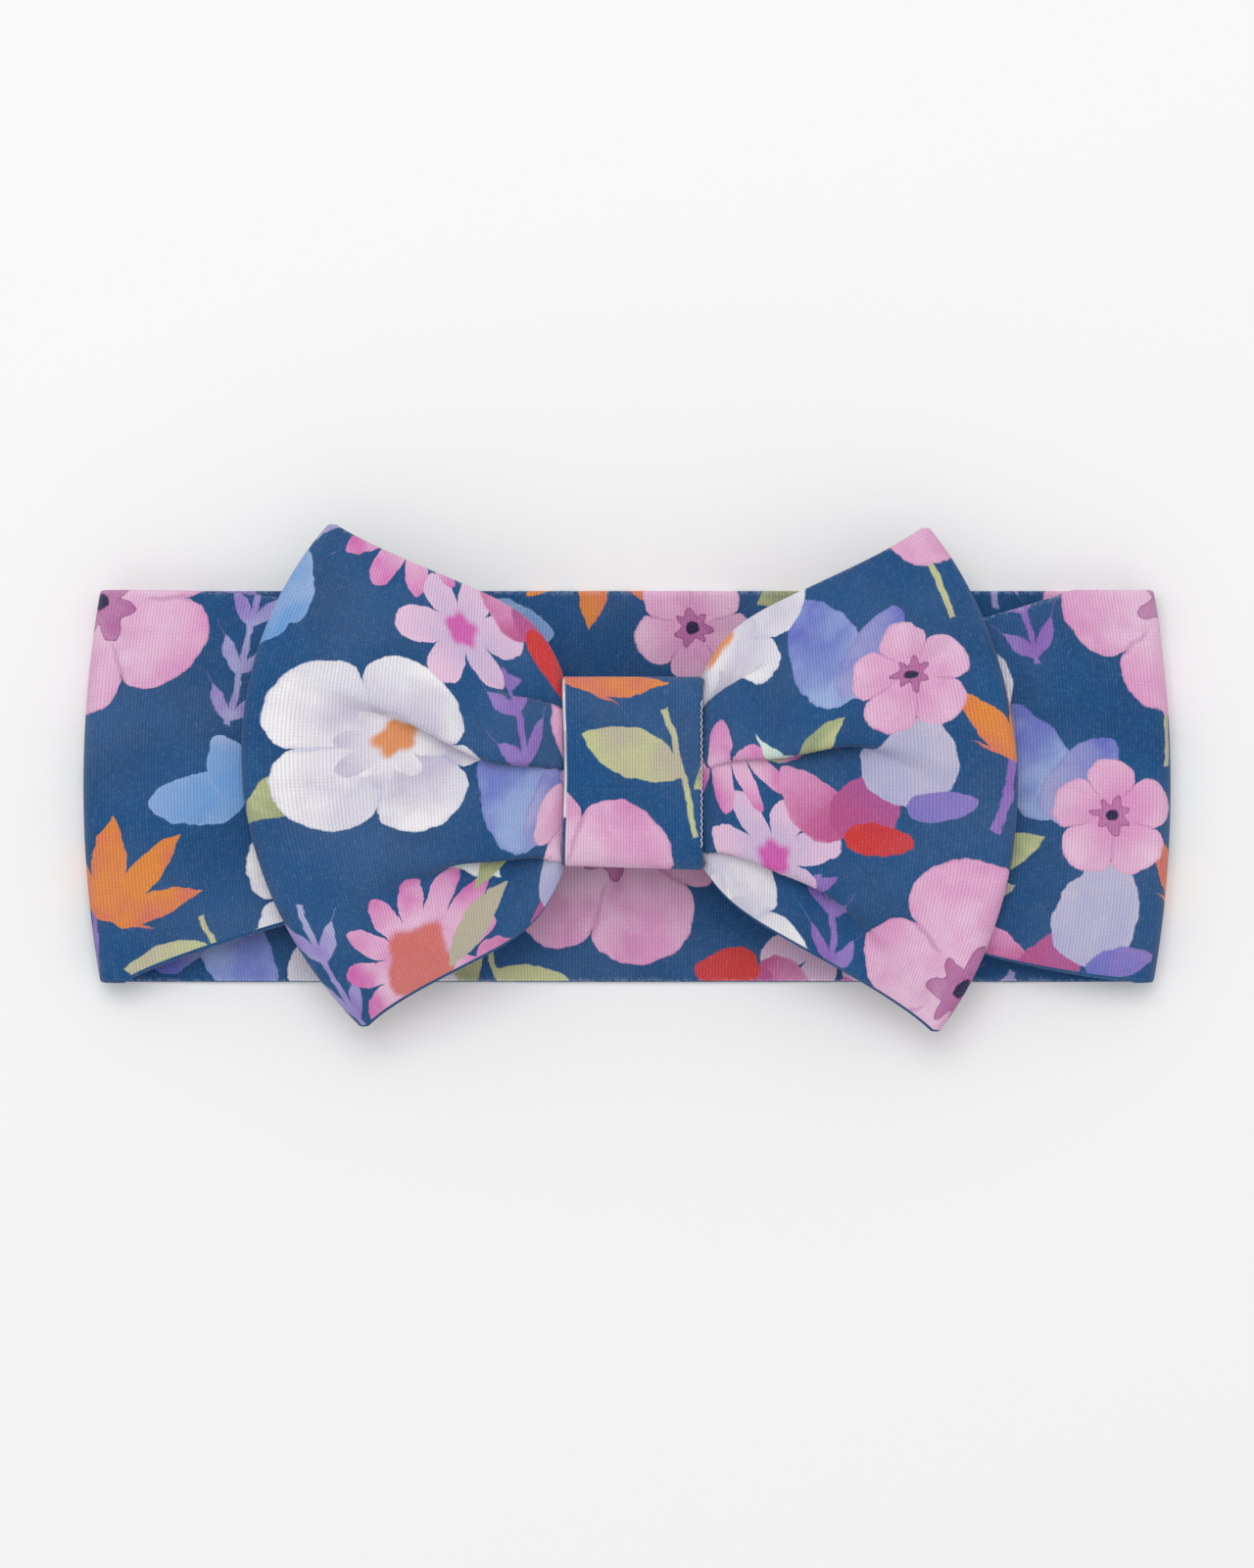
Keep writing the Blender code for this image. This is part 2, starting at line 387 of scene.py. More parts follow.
@dataclass(frozen=True)
class Brush:
    """What a motif's group is drawn with.

    Attributes:
        shop: where its nodes are made.
        place: the place from the motif's own centre, in millimetres.
        under: the colour underneath.
        wash: the uneven strength of the wash, 0 to 1.
        own: the motif's own sizes and dyes, by name.
    """

    shop: Shop
    place: Any
    under: Any
    wash: Value
    own: dict[str, Any]

    # Half the width of an outline's soft edge, and how far a tip is rounded off, in millimetres.
    EDGE = 0.16
    TIP = 0.20

    def __getitem__(self, name: str) -> Any:
        """Give one of the motif's own sizes or dyes."""
        return self.own[name]

    def edge(self, rim: Value) -> Value:
        """Turn a distance inside the outline into a mask with a fine soft edge."""
        return rim.step(-self.EDGE, self.EDGE)

    def lay(self, mask: Value, share: Any = None) -> Any:
        """Lay the motif's two dyes over the colour underneath.

        Args:
            mask: where they lie.
            share: how much of the second dye shows, or the uneven wash where it is left out.

        Returns:
            The new colour's socket.
        """
        amount = self.wash if share is None else share
        colour = self.shop.mix(amount, self["dye"], self["second"])
        return self.shop.mix(mask, self.under, colour)

    def round(self) -> tuple[Value, Value, Value]:
        """Give the motif's size, and the place's reach and angle from its centre."""
        x, y = self.shop.axes(self.place)
        return self["size"], self.shop.length(self.place), y.turn(x)

    def stroke(self) -> tuple[Value, Value, Value, Value]:
        """Give the motif's size, the place along it and across it, and the share of its length."""
        x, y = self.shop.axes(self.place)
        return self["size"], x, y, (x / self["size"]).held()

    def off_middle(self, y: Value, run: Value) -> Value:
        """Give the distance from a middle line whose tip swings to one side."""
        return (y - run * run * (self["bend"] * self["size"])).size()


@dataclass(frozen=True)
class Motif:
    """One painted shape of the print.

    Attributes:
        at: its centre or root on the cloth, in millimetres.
        turn: its turn in degrees.
        size: its reach in millimetres.
        dye: its main dye.
        second: the dye it runs into.
    """

    at: Place
    turn: float
    size: float
    dye: Dye
    second: Dye

    def moved(self, by: Place) -> "Motif":
        """Return the same motif further along the cloth."""
        return replace(self, at=(self.at[0] + by[0], self.at[1] + by[1]))

    @staticmethod
    def draw(brush: Brush) -> Any:
        """Draw the motif inside its group.

        Args:
            brush: what it is drawn with.

        Returns:
            The new colour's socket.
        """
        raise NotImplementedError

    @classmethod
    def _own(cls) -> list[tuple[str, bool]]:
        """List the motif's own sizes and dyes: each one's name, and whether it is a dye."""
        return [(spec.name, spec.type is Dye) for spec in fields(cls) if spec.name not in ("at", "turn")]

    @classmethod
    def _group(cls) -> bpy.types.NodeTree:
        """Make the node group that draws this kind of motif, or find it where it is made.

        Returns:
            The group.
        """
        name = "motif_" + cls.__name__.lower()
        if name in bpy.data.node_groups:
            return bpy.data.node_groups[name]
        tree = bpy.data.node_groups.new(name, "ShaderNodeTree")
        given = [("place", "Vector"), ("under", "Color"), ("wash", "Float")]
        given += [(word, "Color" if is_dye else "Float") for word, is_dye in cls._own()]
        for word, kind in given:
            tree.interface.new_socket(word, in_out="INPUT", socket_type="NodeSocket" + kind)
        tree.interface.new_socket("colour", in_out="OUTPUT", socket_type="NodeSocketColor")
        shop = Shop(tree)
        ends = shop.node("NodeGroupInput", {}, {}).outputs
        own = {word: ends[word] if is_dye else Value(shop, ends[word]) for word, is_dye in cls._own()}
        brush = Brush(shop, ends["place"], ends["under"], Value(shop, ends["wash"]), own)
        shop.node("NodeGroupOutput", {}, {0: cls.draw(brush)})
        return tree

    def paint(self, shop: Shop, place: Any, wash: Value, under: Any) -> Any:
        """Paint the motif over the colour underneath.

        Args:
            shop: the material's nodes.
            place: the place on the cloth, with the brush's wobble.
            wash: the uneven strength of the wash.
            under: the colour underneath.

        Returns:
            The new colour's socket.
        """
        inputs = {"place": shop.local(place, self.at, self.turn), "under": under, "wash": wash}
        for word, is_dye in self._own():
            given = getattr(self, word)
            inputs[word] = given.linear() if is_dye else float(given)
        return shop.node("ShaderNodeGroup", {"node_tree": self._group()}, inputs).outputs[0]


@dataclass(frozen=True)
class Bloom(Motif):
    """An open flower with round petals, a ragged star in the middle and a dark eye.

    Attributes:
        petals: how many petals.
        notch: how deep the gaps between petals cut in, as a share of the reach.
        vein: the dye that gathers between the petals and along their rims.
        heart: the dye of the star.
        eye: the dye of the eye.
        heart_size: the star's reach as a share of the flower's.
        eye_size: the eye's reach as a share of the star's.
        points: how many points the star has.
    """

    petals: int = 5
    notch: float = 0.36
    vein: Dye = Dye.PLUM
    heart: Dye = Dye.PLUM
    eye: Dye = Dye.INK
    heart_size: float = 0.33
    eye_size: float = 0.28
    points: int = 7

    @staticmethod
    def draw(brush: Brush) -> Any:
        """Draw petals, star and eye.

        Args:
            brush: what it is drawn with.

        Returns:
            The new colour's socket.
        """
        shop = brush.shop
        size, reach, angle = brush.round()
        half_turns = angle * (brush["petals"] * 0.5)
        lobe = half_turns.cosine().size()
        uneven = (angle + size).sine() * 0.07
        rim = ((lobe ** 0.45) * brush["notch"] + uneven + (1 - brush["notch"])) * size - reach
        out = reach / size
        share = out.step(0.25, 1.0) * 0.55 + brush.wash * 0.60 - 0.1
        petals = shop.mix(share.held(), brush["dye"], brush["second"])
        seam = lobe.step(0.16, 0.02) * out.step(0.30, 0.45) * 0.38
        overlap = half_turns.sine().step(0.0, 0.7) * brush.wash * 0.22
        pooled = rim.step(0.7, 0.0) * 0.20
        petals = shop.mix(seam.most(overlap).most(pooled), petals, brush["vein"])
        colour = shop.mix(brush.edge(rim), brush.under, petals)
        star_reach = size * brush["heart_size"]
        rim = ((angle * brush["points"]).cosine() * 0.20 + (angle * 3.0).sine() * 0.10 + 0.80) * star_reach
        rim = rim - reach
        inside = brush.edge(rim)
        colour = shop.mix(inside * (brush.wash * 0.25 + 0.62), colour, brush["heart"])
        outline = inside * rim.step(0.55, 0.15) * 0.4
        colour = shop.mix(outline, colour, shop.mix(0.55, brush["heart"], BLACK))
        return shop.mix(brush.edge(star_reach * brush["eye_size"] - reach), colour, brush["eye"])


@dataclass(frozen=True)
class Daisy(Motif):
    """A flower with narrow ragged petals and a soft middle.

    Attributes:
        petals: how many petals.
        heart: the dye of the middle.
        heart_size: the middle's reach as a share of the flower's.
        depth: how deep the gaps between petals cut in, as a share of the reach.
    """

    petals: int = 11
    heart: Dye = Dye.CRIMSON
    heart_size: float = 0.40
    depth: float = 0.50

    @staticmethod
    def draw(brush: Brush) -> Any:
        """Draw petals and middle.

        Args:
            brush: what it is drawn with.

        Returns:
            The new colour's socket.
        """
        shop = brush.shop
        size, reach, angle = brush.round()
        lobe = (angle * (brush["petals"] * 0.5)).cosine().size()
        uneven = (angle * 2.0 + 1.0).sine() * 0.10
        rim = ((lobe ** 0.70) * brush["depth"] + uneven + (1 - brush["depth"])) * size - reach
        share = (reach / size).step(0.35, 1.0) * 0.5 + brush.wash * 0.5
        colour = brush.lay(brush.edge(rim), share.least(1.0))
        ragged = size * brush["heart_size"] * ((angle * 5.0).sine() * 0.12 + 1.0)
        return shop.mix((ragged - reach).step(-0.9, 0.7) * 0.92, colour, brush["heart"])


@dataclass(frozen=True)
class Petal(Motif):
    """One round petal, which narrows to its root.

    Attributes:
        width: its greatest width as a share of its length.
    """

    width: float = 0.62

    @staticmethod
    def draw(brush: Brush) -> Any:
        """Draw the petal.

        Args:
            brush: what it is drawn with.

        Returns:
            The new colour's socket.
        """
        size, _, y, run = brush.stroke()
        body = ((run ** 0.75) * math.pi).sine().most(0.0) ** 0.5
        rim = body * (size * brush["width"] * 0.5) - y.size() - brush.TIP
        share = run * 0.6 + brush.wash * 0.5
        colour = brush.lay(brush.edge(rim), share.least(1.0))
        pooled = brush.edge(rim) * rim.step(0.7, 0.1) * 0.22
        return brush.shop.mix(pooled, colour, brush["second"])


@dataclass(frozen=True)
class Leaf(Motif):
    """A pointed leaf that bends to one side.

    Attributes:
        width: its greatest width as a share of its length.
        bend: how far its tip swings, as a share of its length.
    """

    width: float = 0.30
    bend: float = 0.15

    @staticmethod
    def draw(brush: Brush) -> Any:
        """Draw the leaf.

        Args:
            brush: what it is drawn with.

        Returns:
            The new colour's socket.
        """
        size, _, y, run = brush.stroke()
        across = brush.off_middle(y, run)
        body = (run * math.pi).sine().most(0.0) ** 0.85
        rim = body * (size * brush["width"] * 0.5) - across - brush.TIP
        return brush.lay(brush.edge(rim))


@dataclass(frozen=True)
class Stem(Motif):
    """A bent stroke of the brush.

    Attributes:
        width: its width in millimetres.
        bend: how far its tip swings, as a share of its length.
    """

    width: float = 1.4
    bend: float = 0.1

    @staticmethod
    def draw(brush: Brush) -> Any:
        """Draw the stroke.

        Args:
            brush: what it is drawn with.

        Returns:
            The new colour's socket.
        """
        size, x, y, run = brush.stroke()
        past = (x - run * size).size()
        return brush.lay(brush.edge(brush["width"] * 0.5 - brush.off_middle(y, run).most(past)))


@dataclass(frozen=True)
class Sprig(Motif):
    """A stem with pairs of slim leaves along it.

    Attributes:
        pitch: distance between pairs, in millimetres.
        leaf: length of a leaf, in millimetres.
        bend: how far the tip swings, as a share of its length.
        spread: angle of the leaves to the stem, in degrees.
        width: width of the stem, in millimetres.
    """

    pitch: float = 9.0
    leaf: float = 8.0
    bend: float = 0.1
    spread: float = 32.0
    width: float = 1.1

    @staticmethod
    def draw(brush: Brush) -> Any:
        """Draw the stem and its leaves.

        Args:
            brush: what it is drawn with.

        Returns:
            The new colour's socket.
        """
        size, x, y, run = brush.stroke()
        leaf = brush["leaf"]
        across = brush.off_middle(y, run)
        past = (x - run * size).size()
        stem = brush["width"] * 0.5 - across.most(past)
        along = (x / brush["pitch"]).part() * brush["pitch"]
        lean = brush["spread"] * math.radians(1.0)
        leaf_x = (along * lean.cosine() + across * lean.sine()) / leaf
        leaf_y = across * lean.cosine() - along * lean.sine()
        body = (leaf_x.held() * math.pi).sine().most(0.0)
        leaves = (body * (leaf * 0.15) - leaf_y.size()).least((size - x).least(x + 1.0))
        return brush.lay(brush.edge(stem.most(leaves)))


@dataclass(frozen=True)
class Flame(Motif):
    """A fan of spiky petals on one side of its root.

    Attributes:
        spikes: how many spikes a full turn would have.
        open: half the fan's angle, in degrees.
    """

    spikes: int = 13
    open: float = 105.0

    @staticmethod
    def draw(brush: Brush) -> Any:
        """Draw the fan.

        Args:
            brush: what it is drawn with.

        Returns:
            The new colour's socket.
        """
        size, reach, angle = brush.round()
        tooth = ((angle * brush["spikes"] * (1 / math.tau)).part() - 0.5).size() * 2.0
        edge = ((1.0 - tooth) * 0.55 + (angle * 2.0).cosine() * 0.08 + 0.42) * size
        fan = (brush["open"] * math.radians(1.0) - angle.size()) * size * 0.3
        return brush.lay(brush.edge((edge - reach).least(fan)))


# --- The print ------------------------------------------------------------------------------------

@dataclass(frozen=True)
class Window:
    """A stretch of cloth, in millimetres along and across it."""

    low: Place
    high: Place

    def meets(self, motif: Motif) -> bool:
        """Tell whether a motif reaches into the stretch."""
        reach = motif.size * SPILL
        return all(self.low[axis] - reach < motif.at[axis] < self.high[axis] + reach for axis in (0, 1))


def tiles(low: Place, high: Place, count: int) -> list[Window]:
    """Cut a stretch of cloth into equal lengths.

    Args:
        low: its lowest corner.
        high: its highest corner.
        count: how many lengths.

    Returns:
        The lengths' windows.
    """
    ends = [low[0] + (high[0] - low[0]) * step / count for step in range(count + 1)]
    return [Window((start, low[1]), (end, high[1])) for start, end in zip(ends, ends[1:])]


def nearest_window(windows: Sequence[Window], half: float, along: np.ndarray,
                   cloth: np.ndarray) -> np.ndarray:
    """Find which window each place lies in.

    Args:
        windows: the windows, each on one ply.
        half: half the cloth's width.
        along: the places along the cloth.
        cloth: the places round it.

    Returns:
        The windows' numbers.
    """
    outer = (cloth < half) | (cloth > half * LAST_EDGE)
    found = np.zeros(len(along), int)
    for index, window in enumerate(windows):
        inside = (along >= window.low[0]) & (along <= window.high[0])
        found = np.where(inside & (outer == (window.high[1] <= half)), index, found)
    return found


@dataclass(frozen=True)
class Print:
    """The motifs of one piece of cloth, the lowest first."""

    motifs: tuple[Motif, ...]

    def inside(self, window: Window) -> list[Motif]:
        """List the motifs that a stretch of the cloth needs."""
        return [motif for motif in self.motifs if window.meets(motif)]


# --- The print's repeat ---------------------------------------------------------------------------

def repeat() -> tuple[Motif, ...]:
    """Design one repeat of the print, of the size REPEAT.

    Returns:
        Its motifs, the lowest first.
    """
    return (
        Stem((14, 4), 86, 24, Dye.LIME, Dye.SAND, 1.2),
        Bloom((18, 30), 40, 20, Dye.PALE_ROSE, Dye.ROSE, eye_size=0.24),
        Sprig((41, 8), 78, 27, Dye.LAVENDER, Dye.LILAC),
        Daisy((61, 20), 30, 16, Dye.PALE_ROSE, Dye.HOT_ROSE, 13, Dye.CORAL, 0.42),
        Leaf((80, 26), 205, 16, Dye.SAND, Dye.STONE, 0.42),
        Leaf((79, 27), 128, 14, Dye.MINT, Dye.WHITE, 0.30),
        Petal((84, 6), 132, 16, Dye.MAGENTA, Dye.ROSE, 0.62),
        Petal((84, 6), 62, 15, Dye.MAGENTA, Dye.PLUM, 0.70),
        Petal((84, 6), 8, 11, Dye.SCARLET, Dye.CRIMSON, 0.60),
        Stem((40, 42), 98, 20, Dye.LIME, Dye.SAND, 1.0),
        Leaf((39, 51), 152, 19, Dye.LIME, Dye.SAND, 0.45, 0.1),
        Leaf((40, 49), 42, 17, Dye.LIME, Dye.OLIVE, 0.42, -0.1),
        Petal((86, 38), 112, 23, Dye.PALE_SKY, Dye.PERIWINKLE, 0.55),
        Petal((85, 38), 52, 17, Dye.LAVENDER, Dye.PERIWINKLE, 0.60),
        Bloom((62, 62), 75, 19, Dye.PEARL, Dye.WHITE, vein=Dye.LAVENDER, heart=Dye.WHITE, eye=Dye.WHITE,
              heart_size=0.40, points=7),
        Daisy((62, 62), 12, 9, Dye.WHITE, Dye.PEARL, 9, Dye.ORANGE, 0.34),
        Stem((16, 56), 74, 12, Dye.LILAC, Dye.PURPLE, 1.4),
        Flame((20, 66), 62, 17, Dye.ORANGE, Dye.CORAL, 9, 85),
        Petal((1, 58), 72, 18, Dye.LAVENDER, Dye.PEARL, 0.80),
        Petal((3, 57), 18, 11, Dye.PERIWINKLE, Dye.LILAC, 0.50),
        Petal((44, 82), 172, 16, Dye.SKY, Dye.PALE_SKY, 0.60),
        Petal((44, 82), 112, 13, Dye.SKY, Dye.PALE_SKY, 0.62),
        Sprig((84, 66), 96, 21, Dye.LILAC, Dye.PURPLE),
        Leaf((-6, 79), 205, 13, Dye.OLIVE, Dye.LIME, 0.48),
        Daisy((72, 90), 14, 11, Dye.MALLOW, Dye.PALE_ROSE, 6, Dye.HOT_ROSE, 0.24, 0.62),
        Bloom((5, 83), 20, 10, Dye.ROSE, Dye.PALE_ROSE),
    )


def cut(window: Window, start: Place) -> Print:
    """Cut a piece of cloth from the roll, whose repeats stand half a drop lower in every other column.

    Args:
        window: the cloth.
        start: where a repeat starts on it.

    Returns:
        Its print.
    """
    width, height = REPEAT
    found: list[Motif] = []
    steps = range(-REPEATS_ROUND, REPEATS_ROUND + 1)
    for column in steps:
        for row in steps:
            corner = (start[0] + column * width, start[1] + (row + 0.5 * (column % 2)) * height)
            found += [motif.moved(corner) for motif in repeat()]
    return Print(tuple(motif for motif in found if window.meets(motif)))


@dataclass(frozen=True)
class Jersey:
    """Printed fine jersey.

    Attributes:
        wale: distance between columns of stitches, in millimetres.
        course: distance between rows of stitches, in millimetres.
        relief: depth of the stitches, in metres.
        ground: the dye of the ground.
        second: the dye the ground runs into.
        roughness: the surface's roughness.
        most_motifs: how many motifs one material can hold.
        wobble: how far the brush's line wanders, in millimetres.
        pale: how much pale yarn shows in the flecks.
        shade: how strongly shade is painted into the valleys between stitches, darkening them towards
            black.
        fuzz: height of the fuzz, as a share of the relief.
        worn: how much pale yarn shows along the turned edges.
        sheen: the surface's sheen.
        shine: the surface's specular level.
    """

    wale: float = 0.54
    course: float = 0.62
    relief: float = 0.00009
    ground: Dye = Dye.BLUE
    second: Dye = Dye.DEEP_BLUE
    roughness: float = 0.88
    most_motifs: int = 30
    wobble: float = 2.0
    pale: float = 0.035
    shade: float = 0.31
    fuzz: float = 0.8
    worn: float = 0.12
    sheen: float = 0.12
    shine: float = 0.22

    def stitches(self, shop: Shop, place: Any) -> Value:
        """Work out the height of the knit.

        Args:
            shop: the material's nodes.
            place: the place on the cloth.

        Returns:
            0 in its valleys and 1 on its stitches.
        """
        along, across = shop.axes(place)
        column = (along / self.wale).part() - 0.5
        crown = (column * math.pi).cosine() ** 0.7
        legs = (across / self.course + column.size() * 0.9) * math.tau
        return crown * (legs.sine() * 0.22 + 0.78)

    def material(self, name: str, motifs: Sequence[Motif], edges: Sequence[float]) -> bpy.types.Material:
        """Make the cloth's material.

        Args:
            name: its name.
            motifs: what is printed on it.
            edges: where, across the cloth, its turned edges lie, in millimetres.

        Returns:
            The material.
        """
        made, shop = new_finish(name, {"Roughness": self.roughness, "Specular IOR Level": self.shine,
                                       "Sheen Weight": self.sheen, "Sheen Roughness": 0.45})
        uv = shop.node("ShaderNodeUVMap", {"uv_map": CLOTH_UV}, {}).outputs[0]
        drift = shop.noise(uv, 3.0, 4.0, 1.5).outputs["Color"]
        shift = shop.node("ShaderNodeVectorMath", {"operation": "MULTIPLY_ADD"},
                          {0: drift, 1: (self.wobble, self.wobble, 0.0), 2: uv}).outputs[0]
        shift = shop.node("ShaderNodeVectorMath", {"operation": "SUBTRACT"},
                          {0: shift, 1: (self.wobble / 2, self.wobble / 2, 0.0)}).outputs[0]
        wash = shop.cloud(uv, 9.0, 4.0, 4.0).step(0.36, 0.66)
        colour = shop.mix(wash, self.ground.linear(), self.second.linear())
        if len(motifs) > self.most_motifs:
            LOG.warning("%s has %d motifs", name, len(motifs))
        for motif in motifs:
            colour = motif.paint(shop, shift, wash, colour)
        colour = self._weathered(shop, uv, colour, edges)
        height = self.stitches(shop, uv)
        fleck = shop.cloud(uv, 0.62, 2.0, 11.0).step(0.46, 0.72)
        colour = shop.mix(fleck * height * self.pale, colour, Dye.WHITE.linear())
        # Painted shade: the valleys between the stitches are darkened towards black as if shadowed, on top
        # of the real bumps.
        colour = shop.mix((1.0 - height * (fleck * 0.22 + 0.78)) * self.shade, colour, BLACK)
        shop.surface(colour, self.relief, height + shop.cloud(uv, 0.9, 3.0, 8.0) * self.fuzz)
        made.diffuse_color = self.ground.linear()
        return made

    def _weathered(self, shop: Shop, uv: Any, colour: Any, edges: Sequence[float]) -> Any:
        """Fade the dye a little, unevenly, and let pale yarn show along the turned edges.

        Args:
            shop: the material's nodes.
            uv: the place on the cloth.
            colour: the fresh colour.
            edges: where, across the cloth, its turned edges lie.

        Returns:
            The faded colour's socket.
        """
        patch = shop.cloud(uv, 22.0, 3.0, 2.0)
        yarn = shop.cloud(uv, 0.7, 2.0, 6.0)
        fade = patch.step(0.35, 0.75) * 0.03 + yarn.step(0.45, 0.80) * 0.02
        across = shop.axes(uv)[1]
        for edge in edges:
            near = (across - edge).size().step(0.9, 0.2)
            fade = fade + near * yarn.step(0.40, 0.62) * self.worn
        return shop.mix(fade.least(1.0), colour, Dye.WHITE.linear())


@dataclass(frozen=True)
class Thread:
    """Pale twisted sewing thread.

    Attributes:
        dye: its dye.
        twist: length of its twist, in metres.
        relief: depth of its twist, in metres.
        roughness: its roughness.
    """

    dye: Dye = Dye.PEARL
    twist: float = 0.0004
    relief: float = 0.00005
    roughness: float = 0.6

    def material(self, name: str) -> bpy.types.Material:
        """Make the thread's material.

        Args:
            name: its name.

        Returns:
            The material.
        """
        made, shop = new_finish(name, {"Roughness": self.roughness})
        place = shop.node("ShaderNodeTexCoord", {}, {}).outputs["Object"]
        twist = shop.cloud(place, self.twist, 2.0, 3.0)
        shop.surface(shop.mix(twist, self.dye.linear(), Dye.WHITE.linear()), self.relief, twist)
        return made


# --- Doubled cloth --------------------------------------------------------------------------------

def smooth(share: Any) -> Any:
    """Ease a share that is held between 0 and 1."""
    held = np.clip(share, 0.0, 1.0)
    return held * held * (3 - 2 * held)


@dataclass
class DoubledStrip:
    """A strip of doubled cloth with turned edges, laid along a middle sheet.

    Attributes:
        name: the piece's name.
        thickness: the two plies together, in millimetres.
        width: the cloth's width, in millimetres.
        closed: whether the strip's ends meet.
        upright: whether the print stands across the strip.
        edge_faces: faces round each turned edge.
    """

    name: str
    thickness: float
    width: float
    closed: bool
    upright: bool = False
    edge_faces: int = 4

    def _section(self, across: np.ndarray) -> tuple[np.ndarray, np.ndarray, np.ndarray, np.ndarray]:
        """Work out the closed line round the strip's section.

        Args:
            across: the middle sheet's columns, in millimetres from the strip's middle.

        Returns:
            For each point: the column it hangs on, its reach past that column, its height off the
            middle sheet, and its distance along the cloth.
        """
        last = len(across) - 1
        half = self.thickness / 2
        arc = np.arange(1, self.edge_faces) / self.edge_faces * math.pi
        zero = np.zeros(last + 1)
        column = np.concatenate([np.arange(last + 1), np.full(len(arc), last),
                                 np.arange(last, -1, -1), np.zeros(len(arc)), [0]]).astype(int)
        past = np.concatenate([zero, half * np.sin(arc), zero, -half * np.sin(arc), [0.0]])
        height = np.concatenate([zero + half, half * np.cos(arc), zero - half, -half * np.cos(arc), [half]])
        turn = half * arc
        around = across[-1] - across[0] + half * math.pi
        cloth = np.concatenate([across, across[-1] + turn, across[0] + around + (across[-1] - across[::-1]),
                                across[-1] + around + turn, [across[0] + 2 * around]])
        return column, past, height, cloth

    def dress(self, made: bpy.types.Object, jersey: Jersey, design: Print,
              windows: Sequence[Window]) -> None:
        """Give each stretch of the cloth its own material.

        Args:
            made: the strip's object.
            jersey: its cloth.
            design: its print.
            windows: the stretches, in the order of the faces' materials.
        """
        half = self.width / 2
        around = self.width - self.thickness + self.thickness / 2 * math.pi
        edges = (-half, half, half + around - self.width, half + around)
        for index, window in enumerate(windows):
            name = f"{self.name}_print_{index + 1}"
            made.data.materials.append(jersey.material(name, design.inside(window), edges))

    def build(self, middle: np.ndarray, along: np.ndarray, across: np.ndarray,
              region: Callable[[np.ndarray, np.ndarray], np.ndarray]) -> bpy.types.Object:
        """Make the strip's mesh.

        Args:
            middle: the middle sheet's points, rows along the cloth and columns across it.
            along: each row's distance along the cloth.
            across: each column's distance from the strip's middle.
            region: gives each face's material from its places along and round the cloth.

        Returns:
            The object, at the origin.
        """
        column, past, height, cloth = self._section(across)
        rows, points = len(along), len(column)
        run = self._slope(middle, 0)
        side = self._slope(middle, 1)
        normal = np.cross(run, side)
        normal /= np.maximum(np.linalg.norm(normal, axis=2, keepdims=True), LEAST_LENGTH)
        side /= np.maximum(np.linalg.norm(side, axis=2, keepdims=True), LEAST_LENGTH)
        shell = (middle[:, column] + normal[:, column] * height[None, :, None]
                 + side[:, column] * past[None, :, None])
        shape = bmesh.new()
        bmesh.ops.create_grid(shape, x_segments=rows - 1, y_segments=points - 1, size=1.0)
        mesh = bpy.data.meshes.new(self.name)
        shape.to_mesh(mesh)
        flat = np.empty(len(mesh.vertices) * 3, np.float32)
        mesh.vertices.foreach_get("co", flat)
        flat = flat.reshape(-1, 3)
        row = np.rint((flat[:, 0] + 1) / 2 * (rows - 1)).astype(int)
        point = np.rint((flat[:, 1] + 1) / 2 * (points - 1)).astype(int)
        mesh.vertices.foreach_set("co", (shell[row, point] * MM).astype(np.float32).ravel())
        self._mark(mesh, along[row], cloth[point], region)
        shape.clear()
        shape.from_mesh(mesh)
        bmesh.ops.remove_doubles(shape, verts=shape.verts[:], dist=SAME_POINT)
        open_edges = [edge for edge in shape.edges if edge.is_boundary]
        if open_edges and not self.closed:
            bmesh.ops.holes_fill(shape, edges=open_edges, sides=0)
        for face in shape.faces:
            face.smooth = True
        shape.to_mesh(mesh)
        shape.free()
        return placed(self.name, mesh)

    def _slope(self, middle: np.ndarray, axis: int) -> np.ndarray:
        """Find how the middle sheet runs along one of its axes.

        Args:
            middle: the middle sheet's points.
            axis: 0 along the cloth and 1 across it.

        Returns:
            The direction at each point, of any length.
        """
        if axis == 0 and self.closed:
            ring = middle[:-1]
            slope = np.roll(ring, -1, axis=0) - np.roll(ring, 1, axis=0)
            return np.concatenate([slope, slope[:1]], axis=0)
        return np.gradient(middle, axis=axis)

    def _mark(self, mesh: bpy.types.Mesh, along: np.ndarray, cloth: np.ndarray,
              region: Callable[[np.ndarray, np.ndarray], np.ndarray]) -> None:
        """Write the cloth's own coordinates and each face's material.

        Args:
            mesh: the strip's mesh.
            along: each point's distance along the cloth.
            cloth: its distance round the cloth.
            region: gives each face's material from its places along and round the cloth.
        """
        corners = np.empty(len(mesh.loops), np.int32)
        mesh.loops.foreach_get("vertex_index", corners)
        places = np.stack([along[corners], cloth[corners]], axis=1)
        centres = places.reshape(-1, 4, 2).mean(axis=1)
        if self.upright:
            places = np.stack([cloth[corners], -along[corners]], axis=1)
        layer = mesh.uv_layers.new(name=CLOTH_UV)
        layer.data.foreach_set("uv", places.astype(np.float32).ravel())
        mesh.polygons.foreach_set("material_index", region(centres[:, 0], centres[:, 1]).astype(np.int32))


# --- The object's places --------------------------------------------------------------------------

